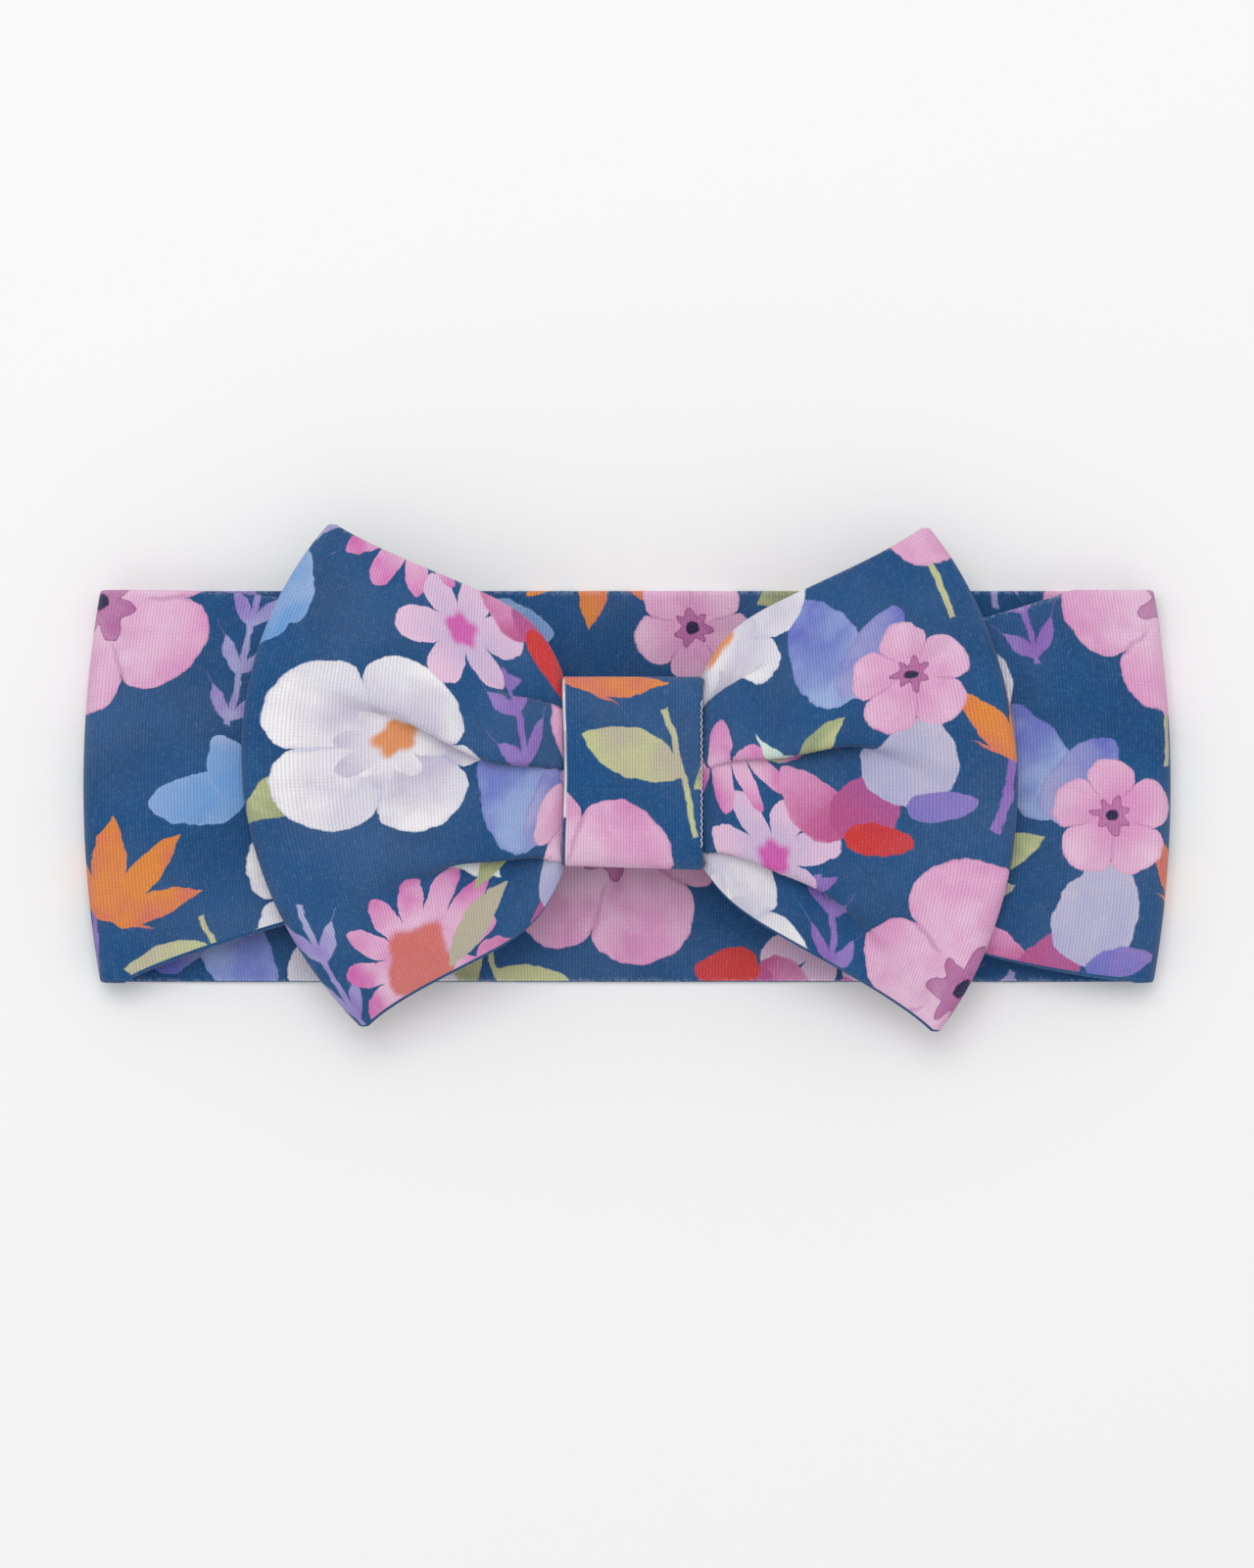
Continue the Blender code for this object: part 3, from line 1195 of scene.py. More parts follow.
@dataclass(frozen=True)
class Places:
    """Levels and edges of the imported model, in millimetres.

    Attributes:
        band: lowest and highest corner of the band's back layer.
        fold: lowest and highest corner of the right side fold.
        waist: the same of the gathered front layer inside the wrap.
        bow: the same of the bow's gathered middle.
        wrap: the same of the centre wrap.
        loop: the same of the right loop.
    """

    band: tuple[Vector, Vector]
    fold: tuple[Vector, Vector]
    waist: tuple[Vector, Vector]
    bow: tuple[Vector, Vector]
    wrap: tuple[Vector, Vector]
    loop: tuple[Vector, Vector]

    @classmethod
    def read(cls) -> "Places":
        """Read the places from the loaded frame."""
        nodes = ("band_back", "side_fold_right", "band_gathers", "bow_gathers", "centre_wrap",
                 "bow_loop_right")
        return cls(*[tuple(Vector(corner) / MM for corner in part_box(node)) for node in nodes])

    def knot(self) -> Vector:
        """Give the middle of the centre wrap."""
        return (self.wrap[0] + self.wrap[1]) / 2


# --- The band -------------------------------------------------------------------------------------

@dataclass(frozen=True)
class EdgeDip:
    """How one edge of the front layer leaves the back layer's edge towards the wrap.

    Attributes:
        start: distance from the middle where it starts, in millimetres.
        power: how slowly it starts.
    """

    start: float
    power: float

    def depth(self, reach: np.ndarray, wrap_half: float, full: float) -> np.ndarray:
        """Work out the dip at distances from the middle.

        Args:
            reach: distances from the wrap's middle.
            wrap_half: half the wrap's width.
            full: the dip at the wrap.

        Returns:
            The dip at each distance.
        """
        share = np.clip((self.start - reach) / (self.start - wrap_half), 0.0, 1.0)
        return full * share ** self.power


@dataclass
class Band:
    """The ring of doubled cloth: back layer, two side folds and the front layer.

    Attributes:
        places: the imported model's places.
        cloth: thickness of the two plies.
        side_bow: how much the side folds bulge at mid height.
        rows: faces along the ring.
        columns: faces across one ply.
        dips: the front layer's edges, high left, high right, low left and low right.
        waist_inset: how far inside the waist's box the edges end.
        ripple: height of the front layer's ripples.
        fades: distances over which they fade, towards the side folds and towards the wrap.
        lengths: how many stretches the front's outside, back's inside, back's outside and front's
            inside are printed in.
    """

    places: Places
    cloth: float = 1.2
    side_bow: float = 2.7
    rows: int = 400
    columns: int = 64
    dips: tuple[EdgeDip, EdgeDip, EdgeDip, EdgeDip] = (
        EdgeDip(80.0, 2.3), EdgeDip(72.0, 0.9), EdgeDip(83.0, 0.80), EdgeDip(86.0, 1.6))
    waist_inset: float = 1.0
    ripple: float = 0.95
    fades: Place = (26.0, 12.0)
    lengths: tuple[int, int, int, int] = (4, 6, 6, 5)

    def __post_init__(self) -> None:
        """Work out the ring's own lengths."""
        low, high = self.places.band
        self.middle_y = (low.y + high.y) / 2
        self.width = high.y - low.y
        self.back_level = self.cloth / 2
        self.side_level = self.places.fold[1].z - self.cloth / 2
        self.front_level = (self.places.waist[0].z + self.places.waist[1].z) / 2
        self.radius = (self.side_level - self.back_level) / 2
        self.straight = self.places.fold[1].x - self.cloth / 2 - self.radius
        self.turn = math.pi * self.radius
        self.length = 4 * self.straight + 2 * self.turn
        self.front_end = self.straight + self.turn / 2

    def front_height(self, x: np.ndarray) -> np.ndarray:
        """Work out the height of the front layer's middle, which sinks towards the side folds.

        Args:
            x: places along the band.

        Returns:
            The height at each.
        """
        knot = self.places.knot()
        wrap_half = self.places.wrap[1].x - knot.x
        share = (np.abs(x - knot.x) - wrap_half) / (self.straight - 2 * wrap_half)
        return self.front_level + (self.side_level - self.front_level) * smooth(share)

    def _front(self, x: np.ndarray, share: np.ndarray) -> tuple[np.ndarray, np.ndarray]:
        """Work out where the front layer lies.

        Args:
            x: places along the band.
            share: places across it, -1 to 1.

        Returns:
            The places' y and z.
        """
        knot = self.places.knot()
        wrap_half = self.places.wrap[1].x - knot.x
        reach = np.abs(x - knot.x)
        half = self.width / 2 - self.cloth / 2
        high_edge, low_edge = self.middle_y + half, self.middle_y - half
        high_full = high_edge - (self.places.waist[1].y - self.waist_inset)
        low_full = self.places.waist[0].y + self.waist_inset - low_edge
        fulls = (high_full, high_full, low_full, low_full)
        dips = [dip.depth(reach, wrap_half, full) for dip, full in zip(self.dips, fulls)]
        right = x > knot.x
        high = high_edge - np.where(right, dips[1], dips[0])
        low = low_edge + np.where(right, dips[3], dips[2])
        y = low + (high - low) * (share + 1) / 2
        out, near = self.fades
        slack = smooth((self.straight - 4.0 - reach) / out) * smooth((reach - wrap_half) / near)
        lean = np.where(right, 0.9, 2.4)
        broad = np.sin(share * 7.4 + lean) * 0.75
        narrow = np.sin(share * 12.5 - lean * 1.7 + reach * 0.02) * 0.35
        z = self.front_height(x) + slack * (broad + narrow) * self.ripple
        return y, z

    def _sheet(self) -> tuple[np.ndarray, np.ndarray, np.ndarray]:
        """Lay the ring's middle sheet.

        Returns:
            Its points, its rows' distances along the ring and its columns' distances across.
        """
        along = np.linspace(-self.length / 2, self.length / 2, self.rows + 1)
        half = self.width / 2 - self.cloth / 2
        across = np.linspace(-half, half, self.columns + 1)
        s, t = np.meshgrid(along, across, indexing="ij")
        share = t / half
        reach = self.straight - self.side_bow * share ** 2
        stretch = reach / self.straight
        way = np.sign(s) + (s == 0)
        past = np.abs(s) - self.straight
        in_front = past <= 0
        in_fold = (past > 0) & (past < self.turn)
        angle = np.clip(past / self.turn, 0.0, 1.0) * math.pi
        back_run = np.maximum(self.length / 2 - np.abs(s), 0.0)
        fold_x = way * (reach + self.radius * np.sin(angle))
        x = np.where(in_front, s * stretch, np.where(in_fold, fold_x, way * back_run * stretch))
        front_y, front_z = self._front(np.clip(s, -self.straight, self.straight) * stretch, share)
        fold_z = self.back_level + self.radius * (1 + np.cos(angle))
        z = np.where(in_front, front_z, np.where(in_fold, fold_z, self.back_level))
        y = np.where(in_front, front_y, self.middle_y + t)
        return np.stack([x, y, z], axis=2), along, across

    def _windows(self) -> list[Window]:
        """Cut the ring's cloth into the stretches that are printed together.

        Returns:
            The stretches.
        """
        half, front = self.width / 2, self.front_end
        back_end, far = self.length - front, half * FAR_END
        corners = (((-front, -half), (front, half)), ((front, half), (back_end, far)),
                   ((front, -half), (back_end, half)), ((-front, half), (front, far)))
        made = []
        for (low, high), count in zip(corners, self.lengths):
            made += tiles(low, high, count)
        return made

    def _region(self, along: np.ndarray, cloth: np.ndarray) -> np.ndarray:
        """Find the stretch that each face lies in, from its places along and round the cloth."""
        along = np.where(along < -self.front_end, along + self.length, along)
        return nearest_window(self._windows(), self.width / 2, along, cloth)

    def build(self, jersey: Jersey, design: Print) -> bpy.types.Object:
        """Make and dress the band.

        Args:
            jersey: its cloth.
            design: its print.

        Returns:
            The band.
        """
        strip = DoubledStrip("band", self.cloth, self.width, closed=True)
        made = strip.build(*self._sheet(), self._region)
        self._close_up(made)
        strip.dress(made, jersey, design, self._windows())
        self.cloth * MM * 1.1
        (self.side_level - self.cloth / 2 - 0.3) * MM
        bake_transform(made)
        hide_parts("band_back", "band_front_left", "band_front_right", "band_gathers",
                    "side_fold_left", "side_fold_right")
        self.width * MM
        return made

    def _close_up(self, made: bpy.types.Object) -> None:
        """Carry the back layer's left half a whole ring further along the print.

        Args:
            made: the band's object.
        """
        layer = made.data.uv_layers[CLOTH_UV]
        places = np.empty(len(layer.data) * 2, np.float32)
        layer.data.foreach_get("uv", places)
        places = places.reshape(-1, 2)
        for face in made.data.polygons:
            loops = slice(face.loop_start, face.loop_start + face.loop_total)
            if places[loops, 0].mean() < -self.front_end:
                places[loops, 0] += self.length
        layer.data.foreach_set("uv", places.ravel())


# --- The bow --------------------------------------------------------------------------------------

@dataclass(frozen=True)
class Pleat:
    """A fold in a loop, deepest at the wrap, that lays one part of the cloth over the next.

    Attributes:
        root: where its lip leaves the wrap, as a Y in millimetres.
        slope: how far the lip climbs over the loop's reach.
        curve: how far it climbs on top of that, with the square of the reach.
        reach: how far out it runs, as a share of the loop.
        share: how much of the spare cloth it takes.
        way: 1 where the part above lies on top, -1 where the part below does.
    """

    root: float
    slope: float
    curve: float
    reach: float
    share: float
    way: int = 1

    def lip(self, held: np.ndarray) -> np.ndarray:
        """Work out the lip's Y at each reach."""
        return self.root + self.slope * held + self.curve * held ** 2


class Side(Enum):
    """Which loop of the bow, by the way it points along X."""

    LEFT = -1
    RIGHT = 1

    def word(self) -> str:
        """Give the side's name."""
        return self.name.lower()


@dataclass
class BowLoop:
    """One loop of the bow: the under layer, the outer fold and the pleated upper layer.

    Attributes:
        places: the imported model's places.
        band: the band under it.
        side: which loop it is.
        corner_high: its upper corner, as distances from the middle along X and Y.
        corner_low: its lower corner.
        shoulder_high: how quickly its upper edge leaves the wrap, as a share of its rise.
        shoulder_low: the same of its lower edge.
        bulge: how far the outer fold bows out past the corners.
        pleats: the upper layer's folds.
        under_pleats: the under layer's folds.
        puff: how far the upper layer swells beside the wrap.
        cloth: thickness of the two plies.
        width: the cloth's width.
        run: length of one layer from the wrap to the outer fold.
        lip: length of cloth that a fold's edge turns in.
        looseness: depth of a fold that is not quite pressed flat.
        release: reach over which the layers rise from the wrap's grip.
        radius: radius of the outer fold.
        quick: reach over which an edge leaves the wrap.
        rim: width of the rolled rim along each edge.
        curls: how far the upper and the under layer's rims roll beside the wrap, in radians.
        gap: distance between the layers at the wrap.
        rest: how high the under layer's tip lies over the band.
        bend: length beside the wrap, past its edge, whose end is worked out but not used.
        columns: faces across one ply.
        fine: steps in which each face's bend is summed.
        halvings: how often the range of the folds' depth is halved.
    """

    places: Places
    band: Band
    side: Side
    corner_high: Place
    corner_low: Place
    shoulder_high: float
    shoulder_low: float
    bulge: float
    pleats: tuple[Pleat, ...]
    under_pleats: tuple[Pleat, ...]
    puff: float = 2.2
    cloth: float = 1.2
    width: float = 82.6
    run: float = 49.0
    lip: float = 2.7
    looseness: float = 2.2
    release: float = 0.42
    radius: float = 2.0
    quick: float = 0.085
    rim: float = 7.0
    curls: Place = (1.25, -0.7)
    gap: float = 2.4
    rest: float = 0.6
    bend: float = 6.0
    columns: int = 150
    fine: int = 4
    halvings: int = 24

    def __post_init__(self) -> None:
        """Work out the loop's own places."""
        self.way = self.side.value
        self.inner = self.places.wrap[1].x - self.places.knot().x
        self.inner_low = self.places.bow[0].y - 0.3
        self.inner_high = self.places.bow[1].y + 0.4
        self.bottom = self.places.bow[0].z + self.cloth * 0.4
        self.top = self.places.bow[1].z - self.cloth * 0.2
        self.split = (self.bottom + self.top) / 2 + self.cloth / 2
        self.turn = math.pi * self.radius
        self.node = "bow_loop_" + self.side.word()

    def _edge(self, reach: np.ndarray, inner: float, corner: float, shoulder: float) -> np.ndarray:
        """Follow an edge of the loop from the wrap out to its corner.

        Args:
            reach: the rows' reach, 0 at the wrap and 1 at the outer fold.
            inner: the edge's Y at the wrap.
            corner: its Y at the corner.
            shoulder: how quickly it leaves the wrap, as a share of its rise.

        Returns:
            Its Y at each row.
        """
        held = np.clip(reach, 0.0, 1.0)
        quick = 1.0 - np.exp(-held / self.quick)
        share = shoulder * quick + (1 - shoulder * (1.0 - math.exp(-1 / self.quick))) * held
        return inner + (corner - inner) * share

    def _fold(self, reach: np.ndarray, base: np.ndarray, extent: np.ndarray, pleats: Sequence[Pleat],
              curl: float) -> tuple[np.ndarray, np.ndarray]:
        """Fold the cloth's section at each reach so that it spans the given extent.

        Args:
            reach: the sections' places, 0 at the wrap and 1 at the outer fold.
            base: the Y of each section's lower edge.
            extent: how tall each section is.
            pleats: the folds, the lowest first.
            curl: how far the edges roll down beside the wrap, in radians.

        Returns:
            Distance above the lower edge and height above it, a row for each section.
        """
        span = self.width - self.cloth
        cloth = np.linspace(0.0, span, self.columns * self.fine + 1)
        held = np.clip(reach, 0.0, 1.0)[:, None]
        spare = (span - extent) * (1.0 - smooth((held[:, 0] - 0.10) / 0.80))
        length = (extent + spare)[:, None]
        rolled = smooth((self.rim - cloth) / self.rim) - smooth((cloth - span + self.rim) / self.rim)
        ends = curl * np.exp(-held / 0.16) * rolled
        run = cloth[None, :] * length / span

        def bend(amount: np.ndarray) -> np.ndarray:
            """Sum the turns of the rims and of every fold.

            Args:
                amount: how deep each section's folds are.

            Returns:
                The cloth's angle at each of its places, a row for each section.
            """
            total = np.zeros((len(reach), len(cloth)))
            hidden = np.zeros((len(reach), 1))
            for pleat in pleats:
                flank = amount[:, None] * pleat.share * (1.0 - smooth(held / pleat.reach))
                formed = 1.0 - np.exp(-flank / self.looseness)
                first = pleat.lip(held) - base[:, None] + hidden + (flank if pleat.way > 0 else 0.0)
                start = first + self.lip * (formed - 1.0)
                rise = smooth((run - start) / self.lip)
                fall = smooth((run - start - self.lip - flank) / self.lip)
                total += pleat.way * math.pi * formed * (rise - fall)
                hidden = hidden + 2 * (flank + self.lip) * formed
            return total + ends

        taken = sum(pleat.share * (1.0 - smooth(held[:, 0] / pleat.reach)) for pleat in pleats)
        low, high = np.zeros(len(reach)), spare / np.maximum(2 * taken, 0.4) * 1.3 + 3.0
        for _ in range(self.halvings):
            middle = (low + high) / 2
            too_wide = np.cos(bend(middle)).mean(axis=1) * length[:, 0] > extent
            low = np.where(too_wide, middle, low)
            high = np.where(too_wide, high, middle)
        angle = bend((low + high) / 2)
        mid_angle = (angle[:, 1:] + angle[:, :-1]) / 2
        none = np.zeros((len(reach), 1))
        step = length / (len(cloth) - 1)
        up = np.concatenate([none, np.cumsum(np.cos(mid_angle) * step, axis=1)], axis=1)
        rise = np.concatenate([none, np.cumsum(np.sin(mid_angle) * step, axis=1)], axis=1)
        rise -= rise[:, -1:] * (cloth / span)[None, :]
        up *= (extent / up[:, -1])[:, None]
        return up[:, ::self.fine], rise[:, ::self.fine]

    def _pinched(self, z: np.ndarray, y: np.ndarray, reach: np.ndarray, low: float,
                 high: float) -> np.ndarray:
        """Press a layer between two levels where the wrap holds it.

        Args:
            z: the layer's heights.
            y: the places' Y.
            reach: its rows' reach.
            low: the lowest level under the wrap.
            high: the highest level under the wrap.

        Returns:
            The pressed heights.
        """
        least, most = z.min(axis=1, keepdims=True), z.max(axis=1, keepdims=True)
        relaxed = low + (z - least) / np.maximum(most - least, 1e-6) * (high - low)
        knot = self.places.knot()
        room = (self.places.wrap[1].y - self.places.wrap[0].y) / 2 - self.cloth
        across = np.clip(np.abs(y - knot.y) / room, 0.0, 1.0)
        roof = knot.z + (high - knot.z) * (1.0 - across ** 3) ** (1 / 3)
        under_roof = np.minimum(relaxed, np.maximum(roof, knot.z))
        pressed = under_roof if high > knot.z + self.cloth else relaxed
        hold = (1.0 - np.clip(reach / self.release, 0.0, 1.0))[:, None]
        inside = (1.0 - smooth(reach / 0.04))[:, None]
        near = relaxed + (pressed - relaxed) * inside
        return z + (near - z) * hold ** 1.6

    def _plan(self, reach: np.ndarray, y: np.ndarray) -> np.ndarray:
        """Work out how far out each point lies, from its reach and its y.

        Args:
            reach: the rows' reach, 0 at the wrap and 1 at the outer fold.
            y: each point's y.

        Returns:
            The distance from the wrap's middle.
        """
        high, low = self.corner_high, self.corner_low
        share = np.clip((y - low[1]) / (high[1] - low[1]), 0.0, 1.0)
        corner = low[0] + (high[0] - low[0]) * share
        rows = reach[:, None]
        out = self.inner + (corner - self.inner) * rows
        swell = self.bulge * np.clip(rows, 0.0, 1.0) ** 2 * (1.0 - (share * 2 - 1) ** 2)
        return np.where(rows < 0, self.inner * (1 + rows), out + swell)

    def _under_level(self, out: np.ndarray, reach: np.ndarray) -> np.ndarray:
        """Work out the height of the under layer, which sinks to rest near the band.

        Args:
            out: each point's distance from the wrap's middle.
            reach: the rows' reach.

        Returns:
            The height at each point.
        """
        root = self.places.bow[0].z + self.cloth / 2 - self.band.front_level
        tip = self.cloth + self.rest
        held = np.clip(reach, 0.0, 1.0)[:, None]
        return self.band.front_height(self.way * out) + root + (tip - root) * held

    def _layer(self, reach: np.ndarray, upper: bool) -> np.ndarray:
        """Lay one layer's middle sheet.

        Args:
            reach: its rows' reach.
            upper: whether it is the upper layer.

        Returns:
            Its points.
        """
        low = self._edge(reach, self.inner_low, self.corner_low[1], self.shoulder_low)
        high = self._edge(reach, self.inner_high, self.corner_high[1], self.shoulder_high)
        extent = high - low
        pleats = self.pleats if upper else self.under_pleats
        up, rise = self._fold(reach, low, extent, pleats, self.curls[0] if upper else self.curls[1])
        y = low[:, None] + up
        out = self._plan(reach, y)
        level = self._under_level(out, reach)
        held = np.clip(reach, 0.0, 1.0)[:, None]
        if upper:
            share = up / extent[:, None] * 2 - 1
            gap = self.gap + (2 * self.radius - self.gap) * smooth(held * 1.4)
            gap = gap - (gap - self.cloth - 0.3) * smooth(held) * share ** 6
            swell = self.puff * np.sin(math.pi * np.clip(held * 1.25, 0, 1)) * (1 - share ** 2)
            z = self._pinched(level + gap + rise + swell, y, reach, self.split, self.top)
        else:
            z = self._pinched(level + rise * 0.30, y, reach, self.bottom, self.split - self.cloth)
        x = self.places.knot().x * (1 - held) + self.way * out
        return np.stack([x, y, z], axis=2)

    def _sheet(self) -> tuple[np.ndarray, np.ndarray, np.ndarray]:
        """Lay the whole loop's middle sheet, from the upper layer out, round and back.

        Returns:
            Its points, its rows' distances along the cloth and its columns' distances across.
        """
        near = np.linspace(-0.9, 0.0, 12)
        out = np.concatenate([near, (np.linspace(0.0, 1.0, 76)[1:]) ** 1.15])
        back = np.concatenate([near, (np.linspace(0.0, 1.0, 44)[1:]) ** 1.1])[::-1]
        upper = self._layer(out, True)
        under = self._layer(back, False)
        angles = np.arange(1, 12) / 12 * math.pi
        first, last = upper[-1], under[0]
        reach = (first[:, 2] - last[:, 2]) / 2
        bends = []
        for angle in angles:
            line = (first + last) / 2
            line[:, 0] += self.way * reach * math.sin(angle)
            line[:, 2] += reach * math.cos(angle)
            bends.append(line)
        middle = np.concatenate([upper, np.stack(bends), under], axis=0)
        along = np.concatenate([out * self.run, self.run + angles / math.pi * self.turn,
                                self.run * 2 + self.turn - back * self.run])
        half = self.width / 2 - self.cloth / 2
        across = np.linspace(-half, half, self.columns + 1)
        if self.side is Side.LEFT:
            return middle[::-1], -along[::-1], across
        return middle, along, across

    def _windows(self) -> list[Window]:
        """Cut the loop's cloth into the stretches that are printed together.

        Returns:
            The stretches.
        """
        half = self.width / 2
        upper, far = self.run + self.turn / 2, self.run * 2 + self.turn + self.inner
        cuts = (((-self.inner, -half), (upper, half), 2), ((upper, -half), (far, half), 2),
                ((-self.inner, half), (far, half * FAR_END), 4))
        made = []
        for low, high, count in cuts:
            ends = sorted((self.way * low[0], self.way * high[0]))
            made += tiles((ends[0], low[1]), (ends[1], high[1]), count)
        return made

    def _region(self, along: np.ndarray, cloth: np.ndarray) -> np.ndarray:
        """Find the stretch that each face lies in, from its places along and round the cloth."""
        return nearest_window(self._windows(), self.width / 2, along, cloth)

    def build(self, jersey: Jersey, design: Print) -> bpy.types.Object:
        """Make and dress the loop.

        Args:
            jersey: its cloth.
            design: its print.

        Returns:
            The loop.
        """
        strip = DoubledStrip(self.node + "_cloth", self.cloth, self.width, closed=False)
        made = strip.build(*self._sheet(), self._region)
        strip.dress(made, jersey, design, self._windows())
        knot = self.places.knot()
        start = (knot.x + self.way * (self.inner - 0.5)) * MM
        end = (knot.x + self.way * (self.inner + self.bend)) * MM
        self.side.word() + "_loop"
        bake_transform(made)
        if self.side is Side.LEFT:
            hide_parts(self.node, "bow_gathers")
        else:
            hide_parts(self.node)
        self.width * MM
        (self.run * 2 + self.turn + 2 * self.inner) * MM
        return made


# --- The centre wrap ------------------------------------------------------------------------------

@dataclass
class CentreWrap:
    """The strip round the bow and the band's front layer.

    Attributes:
        places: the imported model's places.
        cloth: thickness of its plies.
        square: how square its section is, 2 for an ellipse.
        crown: how far its middle stands over its edges on top.
        skew: how far its right edge hangs lower at the lower end.
        rows: faces round it.
        columns: faces across one ply.
        steps: steps in which its section is measured.
    """

    places: Places
    cloth: float = 1.0
    square: float = 4.6
    crown: float = 0.30
    skew: float = 0.35
    rows: int = 220
    columns: int = 44
    steps: int = 4000

    def _ring(self) -> np.ndarray:
        """Follow the wrap's section from the middle of its underside, in Y and Z, evenly spaced.

        Returns:
            The points, the last on the first.
        """
        low, high = self.places.wrap
        knot = self.places.knot()
        half_y = (high.y - low.y) / 2 - self.cloth / 2
        half_z = (high.z - low.z) / 2 - self.cloth / 2
        angle = np.linspace(0, math.tau, self.steps + 1) - math.pi / 2
        power = 2 / self.square
        y = knot.y + half_y * np.sign(np.cos(angle)) * np.abs(np.cos(angle)) ** power
        z = knot.z + half_z * np.sign(np.sin(angle)) * np.abs(np.sin(angle)) ** power
        way = np.concatenate([[0.0], np.cumsum(np.hypot(np.diff(y), np.diff(z)))])
        even = np.linspace(0.0, way[-1], self.rows + 1)
        self.length = way[-1]
        return np.stack([np.interp(even, way, y), np.interp(even, way, z)], axis=1)

    def _sheet(self) -> tuple[np.ndarray, np.ndarray, np.ndarray]:
        """Lay the ring's middle sheet.

        Returns:
            Its points, its rows' distances along the cloth and its columns' distances across.
        """
        ring = self._ring()
        low, high = self.places.wrap
        knot = self.places.knot()
        half = (high.x - low.x) / 2 - self.cloth / 2
        across = np.linspace(-half, half, self.columns + 1)
        along = np.linspace(-self.length / 2, self.length / 2, self.rows + 1)
        y = np.repeat(ring[:, 0:1], len(across), axis=1)
        z = np.repeat(ring[:, 1:2], len(across), axis=1)
        share = (across / half)[None, :]
        squeeze = 1.0 - 0.018 * np.cos((y - knot.y) / 6.0) * np.abs(share)
        x = knot.x + across[None, :] * squeeze
        top = smooth((z - knot.z) / 5.0)
        rounded = self.crown * (1 - share ** 2) - self.crown
        z = z + top * rounded + top * 0.10 * np.sin(y * 0.9 + x * 0.35)
        y = y - self.skew * share * smooth((knot.y - y) / 12.0)
        return np.stack([x, y, z], axis=2), along, across

    def _region(self, along: np.ndarray, cloth: np.ndarray) -> np.ndarray:
        """Sort faces into outside and inside, from their places along and round the cloth."""
        low, high = self.places.wrap
        half = (high.x - low.x) / 2
        return np.where((cloth < half) | (cloth > half * 3), 0, 1)

    def build(self, jersey: Jersey, design: Print) -> bpy.types.Object:
        """Make and dress the wrap.

        Args:
            jersey: its cloth.
            design: its print.

        Returns:
            The wrap.
        """
        low, high = self.places.wrap
        width = high.x - low.x
        strip = DoubledStrip("centre_wrap_cloth", self.cloth, width, closed=True, upright=True)
        made = strip.build(*self._sheet(), self._region)
        half, reach = width / 2, self.length / 2
        for word, start in (("outside", -half), ("inside", half)):
            motifs = design.inside(Window((start, -reach), (start + width, reach)))
            made.data.materials.append(jersey.material("wrap_" + word, motifs, ()))
        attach(made, "front")
        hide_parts("centre_wrap")
        return made


# --- Threads --------------------------------------------------------------------------------------

@dataclass
class EdgeStitches:
    """The fine row of stitches along the wrap's right edge.

    Attributes:
        places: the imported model's places.
        pitch: length of one stitch.
        thickness: diameter of the thread.
        clear: how much of the edge's height the row leaves free.
        inset: how far a stitch's lower end lies inside the wrap's edge.
        drops: how far its lower and its upper end lie under the wrap's top.
    """

    places: Places
    pitch: float = 1.05
    thickness: float = 0.15
    clear: float = 6.0
    inset: float = 0.22
    drops: Place = (0.42, 0.80)

    def build(self, thread: Thread) -> bpy.types.Object:
        """Make and dress the stitches.

        Args:
            thread: their finish.

        Returns:
            The stitches.
        """
        low, high = self.places.wrap
        count = int((high.y - low.y - self.clear) / self.pitch)
        start = (high.y + low.y) / 2 - count * self.pitch / 2
        curve = bpy.data.curves.new("wrap_edge_row", "CURVE")
        curve.dimensions = "3D"
        curve.bevel_depth = self.thickness / 2 * MM
        curve.bevel_resolution = 2
        curve.use_fill_caps = True
        line = curve.splines.new("POLY")
        line.points.add(count * 2 - 1)
        for index, point in enumerate(line.points):
            step, up = divmod(index, 2)
            y = start + (step + 0.5 * up) * self.pitch
            x = high.x - (0.0 if up else self.inset)
            z = high.z - self.drops[up]
            point.co = (x * MM, y * MM, z * MM, 1.0)
        drawn = placed("wrap_edge_row", curve)
        bpy.context.view_layer.update()
        mesh = bpy.data.meshes.new_from_object(drawn.evaluated_get(bpy.context.evaluated_depsgraph_get()))
        bpy.data.objects.remove(drawn, do_unlink=True)
        shape = bmesh.new()
        shape.from_mesh(mesh)
        bmesh.ops.remove_doubles(shape, verts=shape.verts[:], dist=SAME_POINT / 10)
        shape.to_mesh(mesh)
        shape.free()
        made = placed("wrap_edge_row", mesh)
        made.data.materials.clear()
        made.data.materials.append(thread.material("edge_thread"))
        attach(made, "front")
        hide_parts("wrap_edge_stitches")
        return made


# --- The studio -----------------------------------------------------------------------------------

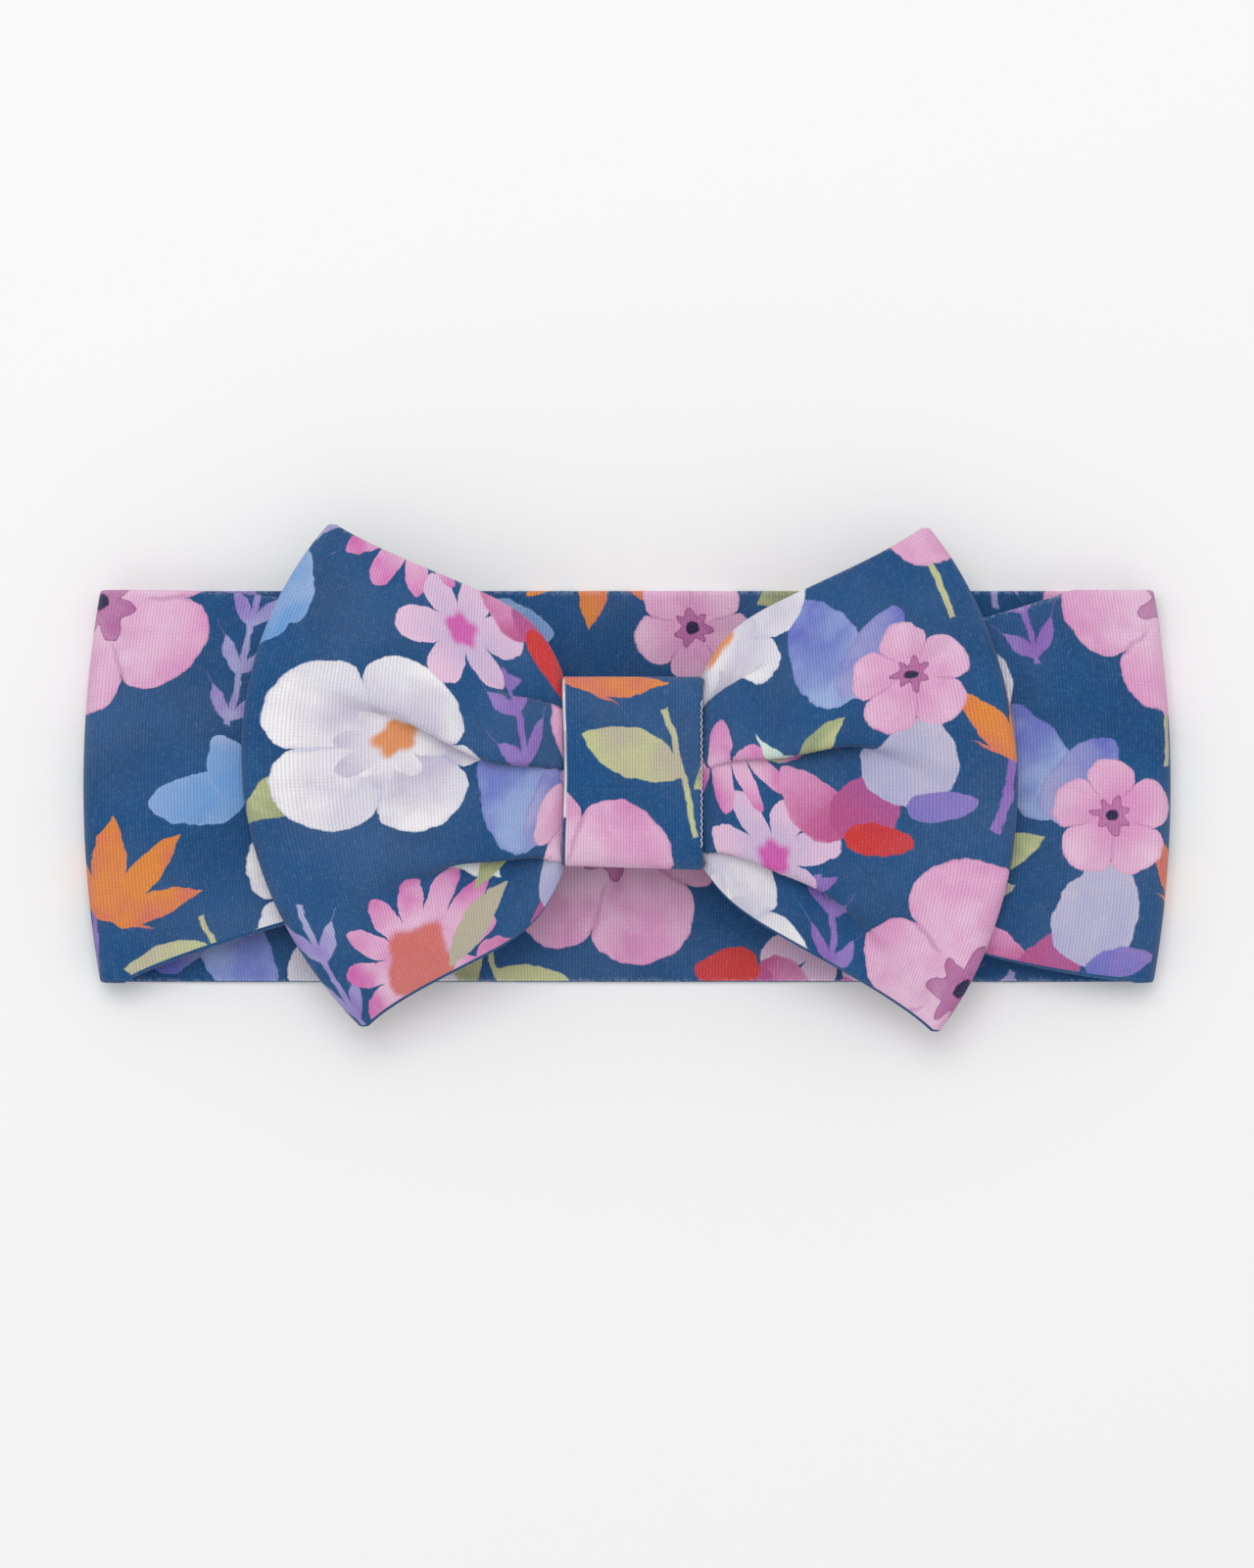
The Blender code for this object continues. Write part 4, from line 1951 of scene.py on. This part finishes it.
@dataclass
class Studio:
    """Pale floor, soft light and the camera straight above.

    Attributes:
        view_height: how much of the floor the picture's long side takes in, in metres.
        distance: the camera's height.
        aim: the place under the camera.
        level: the height that view_height is taken at, in metres.
        film: width of the camera's film, in millimetres.
        sky: strength of the light from all round.
        pale: brightness of the floor.
        reach: half the floor's width, in metres.
        drop: how far the floor lies under the object, in metres.
    """

    view_height: float = 0.256
    distance: float = 1.0
    aim: Place = (0.0, -0.0009)
    level: float = 0.008
    film: float = 36.0
    sky: float = 0.72
    pale: float = 0.90
    reach: float = 4.0
    drop: float = 0.0001

    def build(self) -> None:
        """Set floor, light and camera."""
        scene = bpy.context.scene
        scene.view_settings.view_transform = "Standard"
        world = bpy.data.worlds.new("studio")
        scene.world = world
        world.use_nodes = True
        back = world.node_tree.nodes["Background"]
        back.inputs["Color"].default_value = (1.0, 1.0, 1.0, 1.0)
        back.inputs["Strength"].default_value = self.sky
        shape = bmesh.new()
        bmesh.ops.create_grid(shape, x_segments=1, y_segments=1, size=self.reach)
        mesh = bpy.data.meshes.new("floor")
        shape.to_mesh(mesh)
        shape.free()
        floor = placed("floor", mesh)
        floor.location = (0.0, 0.0, -self.drop)
        paper, _ = new_finish("pale_floor", {"Base Color": (self.pale, self.pale, self.pale, 1.0),
                                             "Roughness": 1.0, "Specular IOR Level": 0.0})
        mesh.materials.append(paper)
        self._lamp("key", (-0.10, 0.42, 1.15), 0.7, 5.5)
        lens = bpy.data.cameras.new("camera")
        lens.sensor_width = self.film
        lens.lens = self.film * (self.distance - self.level) / self.view_height
        lens.clip_start = 0.01
        camera = placed("camera", lens)
        camera.location = (self.aim[0], self.aim[1], self.distance)
        scene.camera = camera

    def _lamp(self, name: str, place: tuple[float, float, float], size: float, power: float) -> None:
        """Add a soft lamp that faces the object.

        Args:
            name: its name.
            place: where it stands, in metres.
            size: its width in metres.
            power: its power in watts.
        """
        lamp = bpy.data.lights.new(name, "AREA")
        lamp.size = size
        lamp.energy = power
        made = placed(name, lamp)
        made.location = place
        made.rotation_euler = (-Vector(place)).to_track_quat("-Z", "Y").to_euler()


# --- Assembly -------------------------------------------------------------------------------------

def dress_threads(thread: Thread) -> None:
    """Give the hidden seams their thread.

    Args:
        thread: the finish.
    """
    finish = thread.material("seam_thread")
    for name in ("band_end_seam", "bow_end_seam", "bow_pleat_seam", "wrap_closing_stitches"):
        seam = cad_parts[name]
        seam.data.materials.clear()
        seam.data.materials.append(finish)


def main() -> None:
    """Build every piece and report it."""
    logging.basicConfig(level=logging.INFO, format="%(name)s: %(message)s")
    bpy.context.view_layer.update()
    places = Places.read()
    Studio().build()
    jersey = Jersey()
    band = Band(places)
    under = (Pleat(-9.0, 0.0, 0.0, 1.0, 1.0), Pleat(2.5, 0.0, 0.0, 1.0, 1.0))
    left = BowLoop(places, band, Side.LEFT, corner_high=(47.6, 40.8), corner_low=(42.4, -39.8),
                   shoulder_high=0.36, shoulder_low=0.34, bulge=15.1, under_pleats=under,
                   pleats=(Pleat(-11.5, -6.0, -6.0, 0.95, 0.60), Pleat(5.2, -13.0, 28.0, 1.10, 1.0),
                           Pleat(13.0, 4.0, 0.0, 0.40, 0.75, -1)))
    right = BowLoop(places, band, Side.RIGHT, corner_high=(48.2, 40.2), corner_low=(49.8, -40.6),
                    shoulder_high=0.30, shoulder_low=0.18, bulge=12.0, under_pleats=under,
                    pleats=(Pleat(-9.5, -12.0, -20.0, 1.00, 0.66), Pleat(4.8, 4.0, -12.0, 1.00, 1.0),
                            Pleat(13.2, 22.0, 0.0, 0.38, 0.75, -1)))
    band_cloth = Window((-95, -34), (275, 100))
    loop_cloth = Window((-106, -42), (106, 130))
    wrap_cloth = Window((-12, -40), (35, 40))
    drawn_tight = Jersey(wale=0.49, course=0.68)
    thread = Thread()
    made = [band.build(jersey, cut(band_cloth, (-16.0, -44.0))),
            left.build(jersey, cut(loop_cloth, (-92.0, -57.0))),
            right.build(jersey, cut(loop_cloth, (-58.0, -20.0))),
            CentreWrap(places).build(drawn_tight, cut(wrap_cloth, (-30.0, -52.0))),
            EdgeStitches(places).build(thread)]
    dress_threads(thread)
    for piece in made:
        LOG.info("%s: %d faces", piece.name, len(piece.data.polygons))


if __name__ == "__main__":
    main()
